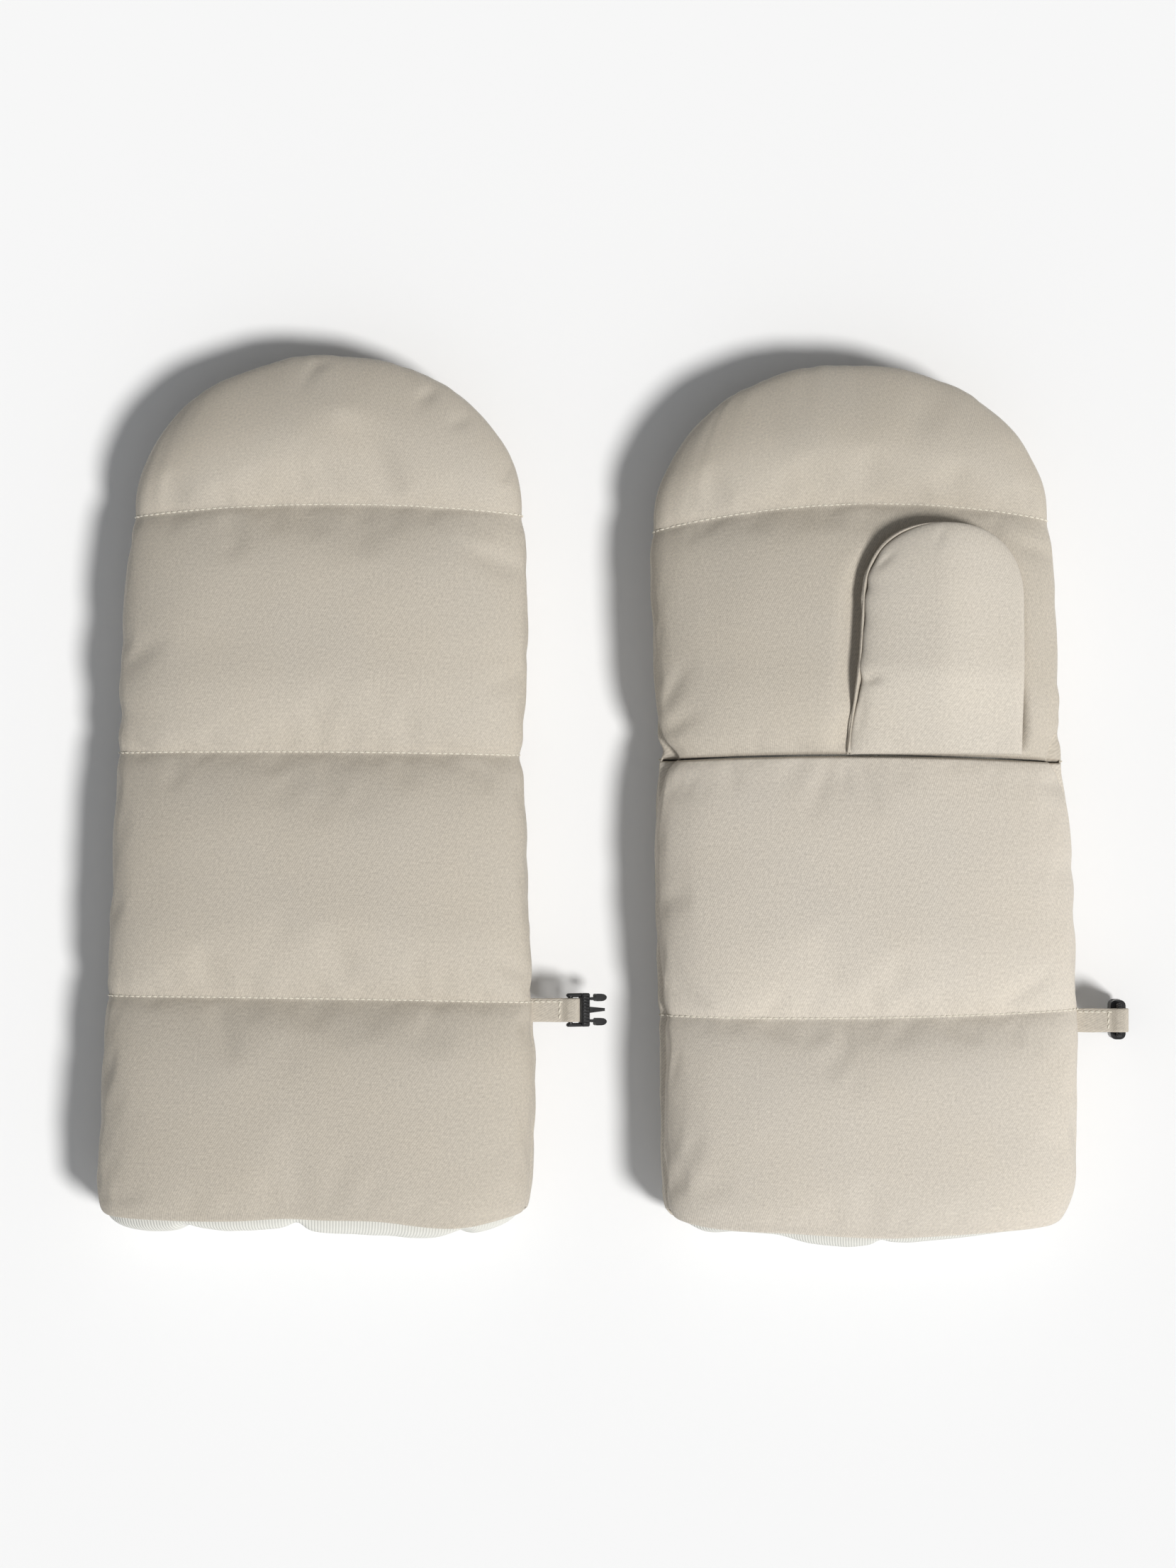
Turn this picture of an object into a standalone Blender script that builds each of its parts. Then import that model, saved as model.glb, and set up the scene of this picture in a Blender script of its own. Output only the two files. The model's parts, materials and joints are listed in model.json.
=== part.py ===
"""A pair of quilted stroller mittens that clip together by a small side release buckle.

The left mitten lies palm down and the right one palm up, fingertips towards +Y, on the plane z = 0.
All lengths are in metres. A mitten's own frame has its origin under the middle of the hem: x runs
across towards the thumb, y from the hem to the fingertips, and z is zero at the side seams and
grows towards the back of the hand.
"""

import math

import bmesh
import bpy
from mathutils import Matrix, Vector

OBJECT_NAME = "stroller_mittens"

# Outline of a mitten, seen from above
MITTEN_LENGTH = 0.382
CUFF_WIDTH = 0.190
DOME_WIDTH = 0.1755
DOME_LENGTH = 0.0725
LOWER_STITCH_Y = 0.097
PALM_SEAM_Y = 0.2065

# Height of the two halves over the side seams, and the flat that the lower one rests on
BACK_RISE = 0.027
PALM_DROP = 0.025
FLAT_CUT = 0.0005

# Layers of the padded walls
SHELL_THICKNESS = 0.001
WADDING_THICKNESS = 0.0094
LINING_THICKNESS = 0.001
LAYER_GAP = 0.0003

# Quilting, drawn-in side seams and the puffed rim at the cuff
CHANNEL_DEPTH = 0.007
HEM_DEPTH = 0.004
SIDE_DRAW = 0.0006
SEAM_DRAW = 0.003
SEAM_DRAW_REACH = 0.007
SEAM_BULGE = 0.0028
RIM_PROUD = 0.0055
RIM_ROUND = 0.0022

# Thumb pouch
THUMB_LENGTH = 0.1025
THUMB_BASE_WIDTH = 0.078
THUMB_TIP_WIDTH = 0.071
THUMB_DOME_LENGTH = 0.0345
THUMB_THICKNESS = 0.017
THUMB_OFFSET = 0.0325
THUMB_SHELL_THICKNESS = 0.0008
THUMB_WADDING_THICKNESS = 0.0026
THUMB_LINING_THICKNESS = 0.0008
THUMB_BASE_ROUND = 0.014
THUMB_HOLE_LENGTH = 0.014
THUMB_CLEARANCE = 0.002
THUMB_MARGIN = 0.007
THUMB_HOLLOW_START = 0.005
LEFT_THUMB_LIFT = 0.0008
RIGHT_THUMB_SINK = 0.004

# Straps in the side seams
STRAP_WIDTH = 0.0106
STRAP_LAYER = 0.0009
STRAP_Y = 0.092
LEFT_STRAP_REACH = 0.0222
RIGHT_STRAP_REACH = 0.0247
STRAP_ROOT_GAP = 0.0004
LOOP_INNER_RADIUS = 0.0015
LOOP_SLACK = 0.0019
LOOP_TAPER = 0.0030

# Buckle halves
WEB_BAR_RADIUS = 0.00105
WEB_SLOT_CLEARANCE = 0.0006
RAIL_GAP = 0.0004
RAIL_WIDTH = 0.0017
RAIL_THICKNESS = 0.0022
RAIL_OVERHANG = 0.0007
PLATE_LENGTH = 0.0040
PLATE_THICKNESS = 0.0042
BUCKLE_EDGE = 0.0005
GUIDE_LENGTH = 0.0078
GUIDE_WIDTH = 0.0030
GUIDE_TIP_WIDTH = 0.0013
GUIDE_THICKNESS = 0.0022
PRONG_LENGTH = 0.0077
PRONG_ARM_WIDTH = 0.0013
PRONG_THICKNESS = 0.0028
PRONG_INSET = 0.0025
PRONG_ROOT_GAP = 0.0003
BARB_LENGTH = 0.0055
BARB_WIDTH = 0.0033
BARB_INWARD = 0.0012
BARB_CATCH = 0.0007
SOCKET_LENGTH = 0.0152
SOCKET_THICKNESS = 0.0067
SOCKET_WALL = 0.0011
SOCKET_SIDE_WALL = 0.0024
SOCKET_SIDE_ROUND = 0.0024
LATCH_CLEARANCE = 0.0003
CUT_OVERRUN = 0.001
MALE_DROOP_DEG = 28.0
FEMALE_DROOP_DEG = 90.0

# Where the two mittens lie
PAIR_GAP = 0.053
PAIR_STAGGER = 0.0044
LEFT_LEAN = 0.0063
RIGHT_LEAN = -0.0075

# Worked out from the sizes above
DOME_BASE_Y = MITTEN_LENGTH - DOME_LENGTH
WALL = SHELL_THICKNESS + WADDING_THICKNESS + LINING_THICKNESS + 2 * LAYER_GAP
THUMB_WALL = (
    THUMB_SHELL_THICKNESS + THUMB_WADDING_THICKNESS + THUMB_LINING_THICKNESS + 2 * LAYER_GAP
)
THUMB_RISE = THUMB_THICKNESS / 2
THUMB_DOME_BASE_Y = THUMB_LENGTH - THUMB_DOME_LENGTH
THUMB_BASE_Z = -(PALM_DROP - CHANNEL_DEPTH) - FLAT_CUT - 2 * LAYER_GAP
LOOP_OUTER_RADIUS = LOOP_INNER_RADIUS + STRAP_LAYER
BAR_TO_STRAP_END = LOOP_SLACK + LOOP_OUTER_RADIUS
BAR_TO_PLATE = BAR_TO_STRAP_END + WEB_SLOT_CLEARANCE
RAIL_INNER = STRAP_WIDTH / 2 + RAIL_GAP
RAIL_OUTER = RAIL_INNER + RAIL_WIDTH
PRONG_Y = RAIL_OUTER - PRONG_INSET
PRONG_ROOT = PRONG_ROOT_GAP + PRONG_ARM_WIDTH / 2
SOCKET_INNER = PRONG_Y + BARB_WIDTH - BARB_INWARD - BARB_CATCH
SOCKET_OUTER = SOCKET_INNER + SOCKET_SIDE_WALL
PAIR_STEP = CUFF_WIDTH + PAIR_GAP
RIGHT_HEM_Y = -(MITTEN_LENGTH + PAIR_STAGGER - RIM_PROUD) / 2
LEFT_HEM_Y = RIGHT_HEM_Y + PAIR_STAGGER

# Shape of the crowns: a rounded section is x^n + z^n = 1
CROWN_POWER = 3.0
PUFF_POWER = 2.6
COLUMNS = 12
THUMB_COLUMNS = 8
DOME_ROW_SHARES = (0.42, 0.68, 0.86, 0.965, 1.0)
THUMB_DOME_ROW_SHARES = (0.5, 0.84, 1.0)
CHANNEL_ROW_SHARES = (0.15, 0.4, 0.6, 0.85)
FINGER_ROW_SHARES = (0.30, 0.52, 0.74, 0.86, 0.94)
THUMB_BASE_ROW_SHARES = (0.0, 0.25, 1.0)
THUMB_BODY_ROW_SHARES = (0.45, 1.0)
WADDING_COMPRESSED_SHARE = 0.77
THUMB_HOLE_COLUMNS = (6, 8)
COLUMN_POWER = 0.8

# Colour, roughness and metallic value of each material
MATERIALS = {
    "shell_twill": ((0.497, 0.451, 0.365, 1.0), 0.72, 0.0),
    "wadding": ((0.86, 0.86, 0.84, 1.0), 0.95, 0.0),
    "lining_cotton": ((0.85, 0.85, 0.81, 1.0), 0.85, 0.0),
    "buckle_plastic": ((0.014, 0.014, 0.015, 1.0), 0.38, 0.0),
}


def make_collection(name, parent):
    collection = bpy.data.collections.new(name)
    parent.children.link(collection)
    return collection


def make_materials():
    made = {}
    for name, (colour, roughness, metallic) in MATERIALS.items():
        material = bpy.data.materials.new(name)
        material.use_nodes = True
        shader = material.node_tree.nodes["Principled BSDF"]
        shader.inputs["Base Color"].default_value = colour
        shader.inputs["Roughness"].default_value = roughness
        shader.inputs["Metallic"].default_value = metallic
        material.diffuse_color = colour
        made[name] = material
    return made


def finish_part(part, material, pivot):
    """Give a piece its own material and put it under the empty on its joint's axis."""
    own = PALETTE[material].copy()
    own.name = part.name + "_" + material
    part.data.materials.append(own)
    part.parent = pivot
    return part


def add_object(name, data, material, pivot):
    part = bpy.data.objects.new(name, data)
    PARTS.objects.link(part)
    return finish_part(part, material, pivot)


def add_pivot(name, location, turn, parent):
    empty = bpy.data.objects.new(name, None)
    PARTS.objects.link(empty)
    empty.parent = parent
    empty.location = location
    empty.rotation_euler = (0, turn, 0)
    return empty


def smooth_step(share):
    share = min(max(share, 0.0), 1.0)
    return share * share * (3 - 2 * share)


def crown(radius_share):
    """Height of a rounded section at a share of its half width, from 1 in the middle to 0."""
    return (1 - min(radius_share, 1.0) ** CROWN_POWER) ** (1 / CROWN_POWER)


def soft_max_zero(value, softness):
    """The larger of value and zero, with a rounded corner between."""
    return (value + math.sqrt(value * value + softness * softness)) / 2


def column_share(column, columns):
    """Places the columns of a padded panel closer together towards its rounded sides."""
    if 2 * column == columns:
        return 0.0
    along = -math.cos(math.pi * column / columns)
    return math.copysign(abs(along) ** COLUMN_POWER, along)


def disc_point(across, along):
    """Maps a square's upper half to a half disc, and gives the distance from its middle too."""
    x = across * math.sqrt(1 - along * along / 2)
    y = along * math.sqrt(1 - across * across / 2)
    radius = math.sqrt(max(across**2 + along**2 - (across * along) ** 2, 0.0))
    return x, y, radius


def padded_sheet(name, columns, outer_rows, inner_rows, surface, material, pivot, hole=None):
    """A closed sheet between two surfaces, extruded from a grid whose rows run across it.

    surface turns a column's place and a row into a point. hole gives the first column, the last
    column and the row of an opening.
    """
    mesh = bpy.data.meshes.new(name)
    grid = bmesh.new()
    rows = len(outer_rows) - 1
    bmesh.ops.create_grid(grid, x_segments=columns, y_segments=rows, size=1)
    place = {}
    for vertex in grid.verts:
        column = round((vertex.co.x + 1) / 2 * columns)
        row = round((vertex.co.y + 1) / 2 * rows)
        place[vertex] = (column, row)
    if hole:
        first, last, hole_row = hole
        doomed = []
        for face in grid.faces:
            corner_columns = [place[v][0] for v in face.verts]
            corner_rows = [place[v][1] for v in face.verts]
            if min(corner_rows) == hole_row and first <= min(corner_columns) < last:
                doomed.append(face)
        bmesh.ops.delete(grid, geom=doomed, context="FACES")
    # With the same diagonals in every layer, neighbouring layers stay parallel.
    bmesh.ops.triangulate(grid, faces=list(grid.faces), quad_method="FIXED")
    skin = list(grid.verts)
    grown = bmesh.ops.extrude_face_region(grid, geom=list(grid.faces), use_keep_orig=True)
    for vertex in grown["geom"]:
        if isinstance(vertex, bmesh.types.BMVert):
            column = round((vertex.co.x + 1) / 2 * columns)
            row = round((vertex.co.y + 1) / 2 * rows)
            vertex.co = surface(column_share(column, columns), inner_rows[row])
    for vertex in skin:
        column, row = place[vertex]
        vertex.co = surface(column_share(column, columns), outer_rows[row])
    bmesh.ops.recalc_face_normals(grid, faces=list(grid.faces))
    if grid.calc_volume(signed=True) < 0:
        bmesh.ops.reverse_faces(grid, faces=list(grid.faces))
    grid.to_mesh(mesh)
    grid.free()
    mesh.shade_smooth()
    mesh.set_sharp_from_angle(angle=math.radians(50))
    return add_object(name, mesh, material, pivot)


class Mitten:
    """One mitten: where it lies, which way up, and the surfaces of its layers."""

    def __init__(self, name, hem_y, lean, back_up, strap_reach):
        self.name = name
        self.lean = lean
        self.flip = 1 if back_up else -1
        self.origin = Vector((0, hem_y, PALM_DROP if back_up else BACK_RISE))
        self.rest_half = -1 if back_up else 1
        self.strap_length = strap_reach + SEAM_DRAW - SEAM_BULGE
        lift = PALM_DROP - LEFT_THUMB_LIFT - THUMB_RISE
        sunk = PALM_DROP - RIGHT_THUMB_SINK + THUMB_CLEARANCE + THUMB_RISE
        self.thumb_z = -lift if back_up else -sunk

    def to_world(self, point):
        """Turns a point of the mitten's own frame into one of its body's frame."""
        return Vector((point[0], point[1], self.flip * point[2]))

    def half_width(self, y):
        share = min(max(y / DOME_BASE_Y, 0.0), 1.0)
        return (CUFF_WIDTH + (DOME_WIDTH - CUFF_WIDTH) * share) / 2 + SEAM_BULGE

    def pinch(self, y):
        """How far the quilting draws the wall in at y: 1 at a stitch line and 0 between two."""
        lines = (0.0, LOWER_STITCH_Y, PALM_SEAM_Y, DOME_BASE_Y, MITTEN_LENGTH)
        for low, high in zip(lines, lines[1:]):
            if y <= high or high == MITTEN_LENGTH:
                share = min(max((y - low) / (high - low), 0.0), 1.0)
                if high == MITTEN_LENGTH and share > 0.5:
                    return 0.0
                return abs(2 * share - 1) ** PUFF_POWER
        return 0.0

    def strap_edge(self):
        """Where the side seam passes the strap's middle."""
        draw = SEAM_DRAW + SIDE_DRAW * self.pinch(STRAP_Y)
        return self.half_width(STRAP_Y) - draw + self.lean * STRAP_Y / MITTEN_LENGTH

    def dip(self, y):
        depth = HEM_DEPTH if y < LOWER_STITCH_Y / 2 else CHANNEL_DEPTH
        return depth * self.pinch(y)

    def skin_y(self, across, row):
        """How far from the hem the outermost layer is at a grid point."""
        y, along, _, _ = row
        return y + (DOME_LENGTH + SEAM_BULGE) * disc_point(across, along)[1]

    def plan(self, across, row, height):
        """Where a layer at a height over the side seam passes in plan."""
        y, along, depth, quilted = row
        x_share, y_share, _ = disc_point(across, along)
        layer_share = max(1 - depth / WALL, 0.0)
        draw = layer_share * SEAM_DRAW * math.exp(-((height / SEAM_DRAW_REACH) ** 2))
        draw += layer_share * quilted * SIDE_DRAW * self.pinch(self.skin_y(across, row))
        far = y + (DOME_LENGTH + SEAM_BULGE - depth - draw) * y_share
        half = self.half_width(y) - depth - draw
        return self.lean * far / MITTEN_LENGTH + half * x_share, far

    def rise(self, full, across, row, rests):
        """Height of a layer over the side seam; the side that rests has a flat crown."""
        y, along, depth, quilted = row
        radius = disc_point(across, along)[2]
        dip = quilted * self.dip(self.skin_y(across, row))
        height = (full + FLAT_CUT - dip - depth) * crown(radius) + LAYER_GAP / 2
        return min(height, full - depth) if rests else height

    def back_point(self, across, row):
        height = self.rise(BACK_RISE, across, row, self.rest_half > 0)
        x, far = self.plan(across, row, height)
        return self.to_world((x, far, height))

    def thumb_back_z(self, x, y):
        """Height of the thumb pouch's side that lies on the palm, and a slope beyond its edge."""
        reach = y - PALM_SEAM_Y
        share = (x - THUMB_OFFSET) / (self.thumb_half_width(reach) + THUMB_MARGIN)
        tip = max(reach - THUMB_DOME_BASE_Y, 0.0) / (THUMB_DOME_LENGTH + THUMB_MARGIN)
        radius = math.hypot(share, tip)
        grown = smooth_step(reach / THUMB_HOLE_LENGTH)
        over = THUMB_RISE * crown(radius) * grown
        return self.thumb_mid_z(reach) + over - THUMB_THICKNESS * max(radius - 1, 0.0)

    def hollow(self, x, y, height):
        """How far the thumb pouch presses the palm in."""
        need = self.thumb_back_z(x, y) + THUMB_CLEARANCE - height
        fade = smooth_step((y - PALM_SEAM_Y) / THUMB_HOLLOW_START)
        return fade * max(soft_max_zero(need, THUMB_CLEARANCE) - THUMB_CLEARANCE / 4, 0.0)

    def palm_point(self, across, row):
        y, along, _, quilted = row
        rests = self.rest_half < 0
        drop = self.rise(PALM_DROP, across, row, rests)
        x, far = self.plan(across, row, drop)
        skin = self.rise(PALM_DROP, across, (y, along, 0.0, 1.0), rests)
        shared_row = (y, along, 0.0 if quilted else WALL - LINING_THICKNESS, quilted)
        pressed = self.hollow(*self.plan(across, shared_row, drop), -skin)
        if not quilted:
            pressed *= WADDING_COMPRESSED_SHARE
        return self.to_world((x, far, pressed - drop))

    def thumb_half_width(self, reach):
        share = min(max(reach / THUMB_DOME_BASE_Y, 0.0), 1.0)
        return (THUMB_BASE_WIDTH + (THUMB_TIP_WIDTH - THUMB_BASE_WIDTH) * share) / 2

    def thumb_mid_z(self, reach):
        """The pouch's edge seam starts in the palm seam and comes up beside the pouch."""
        share = smooth_step(reach / THUMB_BASE_ROUND)
        return THUMB_BASE_Z + (self.thumb_z - THUMB_BASE_Z) * share

    def thumb_point(self, across, row, side):
        """side is -1 on the pouch's free side and 1 on the side that lies on the palm."""
        reach, along, depth, rounded = row
        x_share, y_share, radius = disc_point(across, along)
        half = self.thumb_half_width(reach) - depth
        far = reach + (THUMB_DOME_LENGTH - depth) * y_share
        middle = self.thumb_mid_z(far)
        full = THUMB_RISE if side > 0 else middle - self.thumb_z + THUMB_RISE
        height = (full - depth) * crown(radius)
        if rounded:
            height *= crown(max(1 - (far - depth) / THUMB_BASE_ROUND, 0.0))
        x = THUMB_OFFSET + half * x_share
        z = middle + side * (height + LAYER_GAP / 2)
        return self.to_world((x, far, z - THUMB_BASE_Z))


def body_rows(places, depth, quilted):
    return [(y, 0.0, depth, quilted) for y in places]


def dome_rows(shares, start, depth, quilted):
    return [(start, share, depth, quilted) for share in shares]


def channel(low, high, shares=CHANNEL_ROW_SHARES):
    """Rows from just inside one line of stitches to just inside the next."""
    return [low] + [low + (high - low) * share for share in shares] + [high]


BACK_PLACES = (
    channel(0.0, LOWER_STITCH_Y)
    + channel(LOWER_STITCH_Y, PALM_SEAM_Y)[1:]
    + channel(PALM_SEAM_Y, DOME_BASE_Y)[1:]
)
PALM_END_Y = PALM_SEAM_Y - LAYER_GAP / 2
FINGER_START_Y = PALM_SEAM_Y + LAYER_GAP / 2
PALM_PLACES = channel(0.0, LOWER_STITCH_Y) + channel(LOWER_STITCH_Y, PALM_END_Y)[1:]
HOLE_END_Y = PALM_SEAM_Y + THUMB_HOLE_LENGTH
FINGER_PLACES = [FINGER_START_Y, HOLE_END_Y] + channel(
    PALM_SEAM_Y, DOME_BASE_Y, FINGER_ROW_SHARES
)[1:]
BACK_BAG_PLACES = [0.0, LOWER_STITCH_Y, PALM_SEAM_Y, DOME_BASE_Y]
PALM_BAG_PLACES = [0.0, LOWER_STITCH_Y, PALM_SEAM_Y] + FINGER_PLACES[1:]
SHELL_DEPTHS = (0.0, SHELL_THICKNESS)
WADDING_DEPTHS = (SHELL_THICKNESS + LAYER_GAP, WALL - LINING_THICKNESS - LAYER_GAP)
LINING_DEPTHS = (WALL - LINING_THICKNESS, WALL)


def panel(mitten, name, places, has_dome, depths, quilted, point, material, hole=None):
    """A layer between two depths; quilted tells which of its two sides follow the channels."""
    surfaces = []
    for depth, share in zip(depths, quilted):
        rows = body_rows(places, depth, share)
        if has_dome:
            rows += dome_rows(DOME_ROW_SHARES, DOME_BASE_Y, depth, share)
        surfaces.append(rows)
    padded_sheet(
        mitten.name + "_" + name, COLUMNS, surfaces[0], surfaces[1], point,
        material, mitten.pivot, hole,
    )


def rim(mitten, name, point):
    """Half of the inner bag's puffed edge, which stands out of the hem."""
    near = SHELL_THICKNESS + LAYER_GAP
    outer_rows = [
        (-RIM_PROUD, 0.0, near + RIM_ROUND, 1.0),
        (-RIM_PROUD + RIM_ROUND, 0.0, near, 1.0),
        (-LAYER_GAP, 0.0, near, 1.0),
    ]
    inner_rows = [
        (-RIM_PROUD, 0.0, WALL - RIM_ROUND, 0.0),
        (-RIM_PROUD + RIM_ROUND, 0.0, WALL, 0.0),
        (-LAYER_GAP, 0.0, WALL, 0.0),
    ]
    padded_sheet(
        mitten.name + "_" + name, COLUMNS, outer_rows, inner_rows, point,
        "lining_cotton", mitten.pivot,
    )


def make_body(mitten):
    """The back, the lower palm, the finger half of the palm and the inner bag with its rim."""
    back = mitten.back_point
    palm = mitten.palm_point
    hole = THUMB_HOLE_COLUMNS + (0,)
    layers = (
        ("shell", SHELL_DEPTHS, (1.0, 1.0), "shell_twill"),
        ("wadding", WADDING_DEPTHS, (1.0, 0.0), "wadding"),
    )
    for layer, depths, quilted, material in layers:
        panel(mitten, "back_" + layer, BACK_PLACES, True, depths, quilted, back, material)
        panel(mitten, "palm_" + layer, PALM_PLACES, False, depths, quilted, palm, material)
        panel(mitten, "finger_" + layer, FINGER_PLACES, True, depths, quilted, palm, material, hole)
    smooth = (0.0, 0.0)
    bag_hole = THUMB_HOLE_COLUMNS + (PALM_BAG_PLACES.index(PALM_SEAM_Y),)
    panel(mitten, "back_lining", BACK_BAG_PLACES, True, LINING_DEPTHS, smooth, back, "lining_cotton")
    panel(
        mitten, "palm_lining", PALM_BAG_PLACES, True, LINING_DEPTHS, smooth, palm,
        "lining_cotton", bag_hole,
    )
    rim(mitten, "back_rim", back)
    rim(mitten, "palm_rim", palm)


def thumb_layer(mitten, name, depths, side, material):
    """One layer of the thumb pouch's free half (side -1) or of the half on the palm (side 1)."""
    surfaces = []
    for depth in depths:
        body = THUMB_DOME_BASE_Y - THUMB_BASE_ROUND
        if side < 0:
            rows = [
                (depth + (THUMB_BASE_ROUND - depth) * share, 0.0, depth, True)
                for share in THUMB_BASE_ROW_SHARES
            ]
        else:
            rows = [(THUMB_HOLE_LENGTH, 0.0, depth, False)]
        rows += [
            (THUMB_BASE_ROUND + body * share, 0.0, depth, False) for share in THUMB_BODY_ROW_SHARES
        ]
        rows += [(THUMB_DOME_BASE_Y, share, depth, False) for share in THUMB_DOME_ROW_SHARES]
        surfaces.append(rows)

    def point(across, row):
        return mitten.thumb_point(across, row, side)

    padded_sheet(
        mitten.name + "_" + name, THUMB_COLUMNS, surfaces[0], surfaces[1], point,
        material, mitten.thumb_pivot,
    )


def make_thumb(mitten):
    shell = (0.0, THUMB_SHELL_THICKNESS)
    wadding = (
        THUMB_SHELL_THICKNESS + LAYER_GAP,
        THUMB_SHELL_THICKNESS + LAYER_GAP + THUMB_WADDING_THICKNESS,
    )
    inner = (THUMB_WALL - THUMB_LINING_THICKNESS, THUMB_WALL)
    for half, side in (("front", -1), ("back", 1)):
        thumb_layer(mitten, "thumb_" + half + "_shell", shell, side, "shell_twill")
        thumb_layer(mitten, "thumb_" + half + "_wadding", wadding, side, "wadding")
        thumb_layer(mitten, "thumb_" + half + "_lining", inner, side, "lining_cotton")


def arc_points(centre_x, centre_z, radius, start_deg, end_deg, steps):
    points = []
    for step in range(steps + 1):
        angle = math.radians(start_deg + (end_deg - start_deg) * step / steps)
        points.append((centre_x + radius * math.cos(angle), centre_z + radius * math.sin(angle)))
    return points


def flat_outline(name, outlines, thickness, material, pivot, upright=False):
    """A flat piece: closed outlines filled and extruded by half the thickness to each side."""
    curve = bpy.data.curves.new(name, "CURVE")
    curve.dimensions = "2D"
    curve.fill_mode = "BOTH"
    curve.extrude = thickness / 2
    for outline in outlines:
        spline = curve.splines.new("POLY")
        spline.points.add(len(outline) - 1)
        for point, (x, y) in zip(spline.points, outline):
            point.co = (x, y, 0, 1)
        spline.use_cyclic_u = True
    part = add_object(name, curve, material, pivot)
    if upright:
        part.rotation_euler = (math.pi / 2, 0, 0)
    return part


def make_strap(mitten):
    """A folded band with a round root in the side seam and a loop round the web bar."""
    root = STRAP_LAYER
    bar_x = mitten.strap_length - STRAP_ROOT_GAP - root - BAR_TO_STRAP_END
    end_x = bar_x + LOOP_SLACK
    neck_x = bar_x - LOOP_OUTER_RADIUS - LOOP_TAPER
    outline = arc_points(0, 0, root, 90, 270, 6)
    outline += [(neck_x, -root)]
    outline += arc_points(bar_x, 0, LOOP_OUTER_RADIUS, -115, -90, 2)
    outline += arc_points(end_x, 0, LOOP_OUTER_RADIUS, -90, 90, 8)
    outline += arc_points(bar_x, 0, LOOP_OUTER_RADIUS, 90, 115, 2)
    outline += [(neck_x, root)]
    hole = [(neck_x + STRAP_LAYER, 0)]
    hole += arc_points(bar_x, 0, LOOP_INNER_RADIUS, 120, 90, 2)
    hole += arc_points(end_x, 0, LOOP_INNER_RADIUS, 90, -90, 6)
    hole += arc_points(bar_x, 0, LOOP_INNER_RADIUS, -90, -120, 2)
    flat_outline(
        mitten.name + "_strap", [outline, hole], STRAP_WIDTH, "shell_twill", mitten.strap_pivot, True
    )
    return bar_x


def block(name, low, high, collection, bevel=0.0):
    """A box between two corners, as its own mesh object, with its edges rounded by a bevel."""
    mesh = bpy.data.meshes.new(name)
    box = bmesh.new()
    bmesh.ops.create_cube(box, size=1)
    size = [b - a for a, b in zip(low, high)]
    middle = [(a + b) / 2 for a, b in zip(low, high)]
    bmesh.ops.scale(box, vec=size, verts=box.verts)
    bmesh.ops.translate(box, vec=middle, verts=box.verts)
    if bevel:
        bmesh.ops.bevel(
            box, geom=list(box.edges), offset=bevel, segments=1, affect="EDGES", profile=0.5
        )
    box.to_mesh(mesh)
    box.free()
    made = bpy.data.objects.new(name, mesh)
    collection.objects.link(made)
    return made


def taper_block(name, x0, x1, width0, width1, thickness, collection):
    """A tongue that narrows along x."""
    half = thickness / 2
    made = block(name, (x0, -width0 / 2, -half), (x1, width0 / 2, half), collection)
    for vertex in made.data.vertices:
        if vertex.co.x > (x0 + x1) / 2:
            vertex.co.y *= width1 / width0
    return made


def web_bar(name, half_length, collection):
    mesh = bpy.data.meshes.new(name)
    rod = bmesh.new()
    bmesh.ops.create_cone(
        rod, cap_ends=True, segments=12, radius1=WEB_BAR_RADIUS, radius2=WEB_BAR_RADIUS,
        depth=2 * half_length, matrix=Matrix.Rotation(math.pi / 2, 4, "X"),
    )
    rod.to_mesh(mesh)
    rod.free()
    made = bpy.data.objects.new(name, mesh)
    collection.objects.link(made)
    return made


def as_tool(tool, owner):
    """A cutter or an added shape that a Boolean reads: it sits with its owner and isn't drawn."""
    tool.hide_render = True
    tool.display_type = "WIRE"
    tool.parent = owner.parent
    return tool


def combine(owner, tools, operation):
    for tool in tools:
        modifier = owner.modifiers.new(tool.name, "BOOLEAN")
        modifier.operation = operation
        modifier.solver = "EXACT"
        modifier.object = as_tool(tool, owner)


def web_frame(name, rail_outer, plate_start):
    """The two rails and the bar that a strap's loop goes round, as tools for a Boolean."""
    half = RAIL_THICKNESS / 2
    low = -WEB_BAR_RADIUS - RAIL_OVERHANG
    high = plate_start + CUT_OVERRUN
    tools = [web_bar(name + "_bar_tool", RAIL_INNER + RAIL_WIDTH / 2, TOOLS)]
    for sign in (-1, 1):
        edges = sorted((sign * RAIL_INNER, sign * rail_outer))
        tools.append(
            block(
                name + "_rail_tool_" + str(sign), (low, edges[0], -half), (high, edges[1], half),
                TOOLS, BUCKLE_EDGE,
            )
        )
    return tools


def make_male_half(pivot):
    """The plate with its rails, web bar and centre guide."""
    plate_end = BAR_TO_PLATE + PLATE_LENGTH
    half = PLATE_THICKNESS / 2
    plate = block(
        "left_buckle_body", (BAR_TO_PLATE, -RAIL_OUTER, -half), (plate_end, RAIL_OUTER, half),
        PARTS, BUCKLE_EDGE,
    )
    finish_part(plate, "buckle_plastic", pivot)
    guide = taper_block(
        "guide_tool", plate_end - CUT_OVERRUN, plate_end + GUIDE_LENGTH, GUIDE_WIDTH,
        GUIDE_TIP_WIDTH, GUIDE_THICKNESS, TOOLS,
    )
    combine(plate, web_frame("male", RAIL_OUTER, BAR_TO_PLATE) + [guide], "UNION")
    return plate_end


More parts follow.
